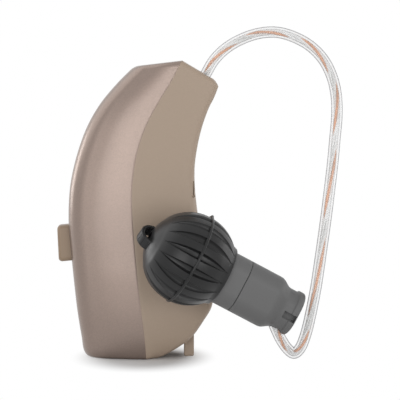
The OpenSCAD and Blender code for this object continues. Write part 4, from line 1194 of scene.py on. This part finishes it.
def aimed(name, data, spot, at):
    """A lamp or a camera at a spot, turned towards a point."""
    item = bpy.data.objects.new(name, data)
    bpy.context.scene.collection.objects.link(item)
    item.location = spot
    item.rotation_euler = (at - item.location).to_track_quat("-Z", "Y").to_euler()
    return item


class AID_OT_stage(bpy.types.Operator):
    """Stage: pale floor with a partly painted shadow patch, soft studio light and the camera"""

    bl_idname = "aid.stage"
    bl_label = "Stage, lights and camera"

    def execute(self, context):
        scene = context.scene
        clear_selection()
        bpy.ops.mesh.primitive_circle_add(vertices=96, radius=0.07, fill_type="NGON")
        floor = added("studio_floor")
        material, tree = new_material("pale seamless paper")
        place = add(tree, "ShaderNodeTexCoord").outputs["Object"]
        fibre = add(tree, "ShaderNodeTexNoise", {"Vector": place}, Scale=per_mm(4.0))
        tone = add(tree, "ShaderNodeMix", {"Factor": fibre.outputs["Fac"]}, data_type="RGBA",
                   A=(0.76, 0.76, 0.76, 1), B=(0.79, 0.79, 0.79, 1))
        paper = add(tree, "ShaderNodeBsdfDiffuse", {"Color": tone.outputs["Result"]})
        # A little away from the object the paper is seen as plain white; near it greyer paper keeps
        # the real shadow, and this grey ellipse, set and stretched under the body, is a painted
        # shadow
        # Painted shadow: the ellipse where the grey paper shows is placed and stretched to the
        # shadow's spread
        spot = add(tree, "ShaderNodeMapping", {"Vector": place},
                   Location=(-3.2 * MM, 1.5 * MM, 0), Scale=(1.4, 1, 1))
        far = add(tree, "ShaderNodeVectorMath", {0: spot.outputs["Vector"]},
                  operation="LENGTH")
        shadow_patch_fade = add(tree, "ShaderNodeMapRange", {"Value": far.outputs["Value"]},
                   interpolation_type="SMOOTHSTEP", From_Min=4.5 * MM, From_Max=10.5 * MM)
        white = add(tree, "ShaderNodeMath", {0: sees_backdrop(tree), 1: shadow_patch_fade.outputs["Result"]},
                    operation="MULTIPLY")
        glow = add(tree, "ShaderNodeEmission", Strength=1.0)
        both = add(tree, "ShaderNodeMixShader", {0: white.outputs[0], 1: paper.outputs[0],
                                                 2: glow.outputs[0]})
        add(tree, "ShaderNodeOutputMaterial", {"Surface": both.outputs[0]})
        floor.data.materials.append(material)

        world = bpy.data.worlds.new("studio")
        scene.world = world
        world.use_nodes = True
        tree = world.node_tree
        tree.nodes.clear()
        # The room is white where it is seen, and gives the object a softer light
        strength = add(tree, "ShaderNodeMix", {"Factor": sees_backdrop(tree)},
                       data_type="FLOAT", A=0.5, B=1.0)
        back = add(tree, "ShaderNodeBackground", {"Strength": strength.outputs["Result"]},
                   Color=(1, 1, 1, 1))
        add(tree, "ShaderNodeOutputWorld", {"Surface": back.outputs[0]})

        middle = Vector((7.9, 0, 15.6)) * MM
        # Name, place, width and power, in metres and watts
        lamps = (
            ("overhead_softbox", (0.06, -0.08, 0.30), 0.30, 0.03),
            ("front_softbox", (-0.078, -0.265, 0.04), 0.14, 0.16),
            ("rim_softbox", (-0.25, 0.12, 0.05), 0.10, 0.12),
            ("crown_softbox", (-0.19, 0.03, 0.19), 0.28, 0.20),
            ("edge_softbox", (0.25, 0.07, 0.05), 0.12, 0.09),
            ("side_softbox", (0.15, -0.24, 0.02), 0.14, 0.16),
        )
        for name, spot, width, power in lamps:
            light = bpy.data.lights.new(name, "AREA")
            light.size = width
            light.energy = power
            aimed(name, light, Vector(spot), middle)

        view = bpy.data.cameras.new("photo_camera")
        view.lens = 180
        view.sensor_width = 36
        view.clip_start = 0.01
        view.clip_end = 20
        lift, away = math.radians(4.4), 0.2
        scene.camera = aimed(
            "photo_camera", view,
            middle + Vector((0, -math.cos(lift), math.sin(lift))) * away, middle)
        scene.view_settings.view_transform = "Standard"
        return {"FINISHED"}


STEPS = (AID_OT_stage, AID_OT_back_cover, AID_OT_front_housing, AID_OT_push_button,
         AID_OT_battery_drawer, AID_OT_ear_wire, AID_OT_speaker, AID_OT_dome, AID_OT_small_parts)


class AID_PT_panel(bpy.types.Panel):
    """Sidebar panel that lists the pieces"""

    bl_label = "Hearing aid"
    bl_idname = "AID_PT_panel"
    bl_space_type = "VIEW_3D"
    bl_region_type = "UI"
    bl_category = "Hearing aid"

    def draw(self, context):
        for step in STEPS:
            self.layout.operator(step.bl_idname)
        for group in (context.scene.aid_sizes, context.scene.aid_colours):
            box = self.layout.box()
            for name in group.__annotations__:
                box.prop(group, name)


CLASSES = (AidSizes, AidColours, *STEPS, AID_PT_panel)


def register():
    for cls in CLASSES:
        bpy.utils.register_class(cls)
    bpy.types.Scene.aid_sizes = bpy.props.PointerProperty(type=AidSizes)
    bpy.types.Scene.aid_colours = bpy.props.PointerProperty(type=AidColours)


def unregister():
    del bpy.types.Scene.aid_colours
    del bpy.types.Scene.aid_sizes
    for cls in reversed(CLASSES):
        bpy.utils.unregister_class(cls)


def main():
    register()
    for step in STEPS:
        space, name = step.bl_idname.split(".")
        result = getattr(getattr(bpy.ops, space), name)()
        if result != {"FINISHED"}:
            raise RuntimeError(step.bl_idname + " did not finish")
    clear_selection()


if __name__ == "__main__":
    main()
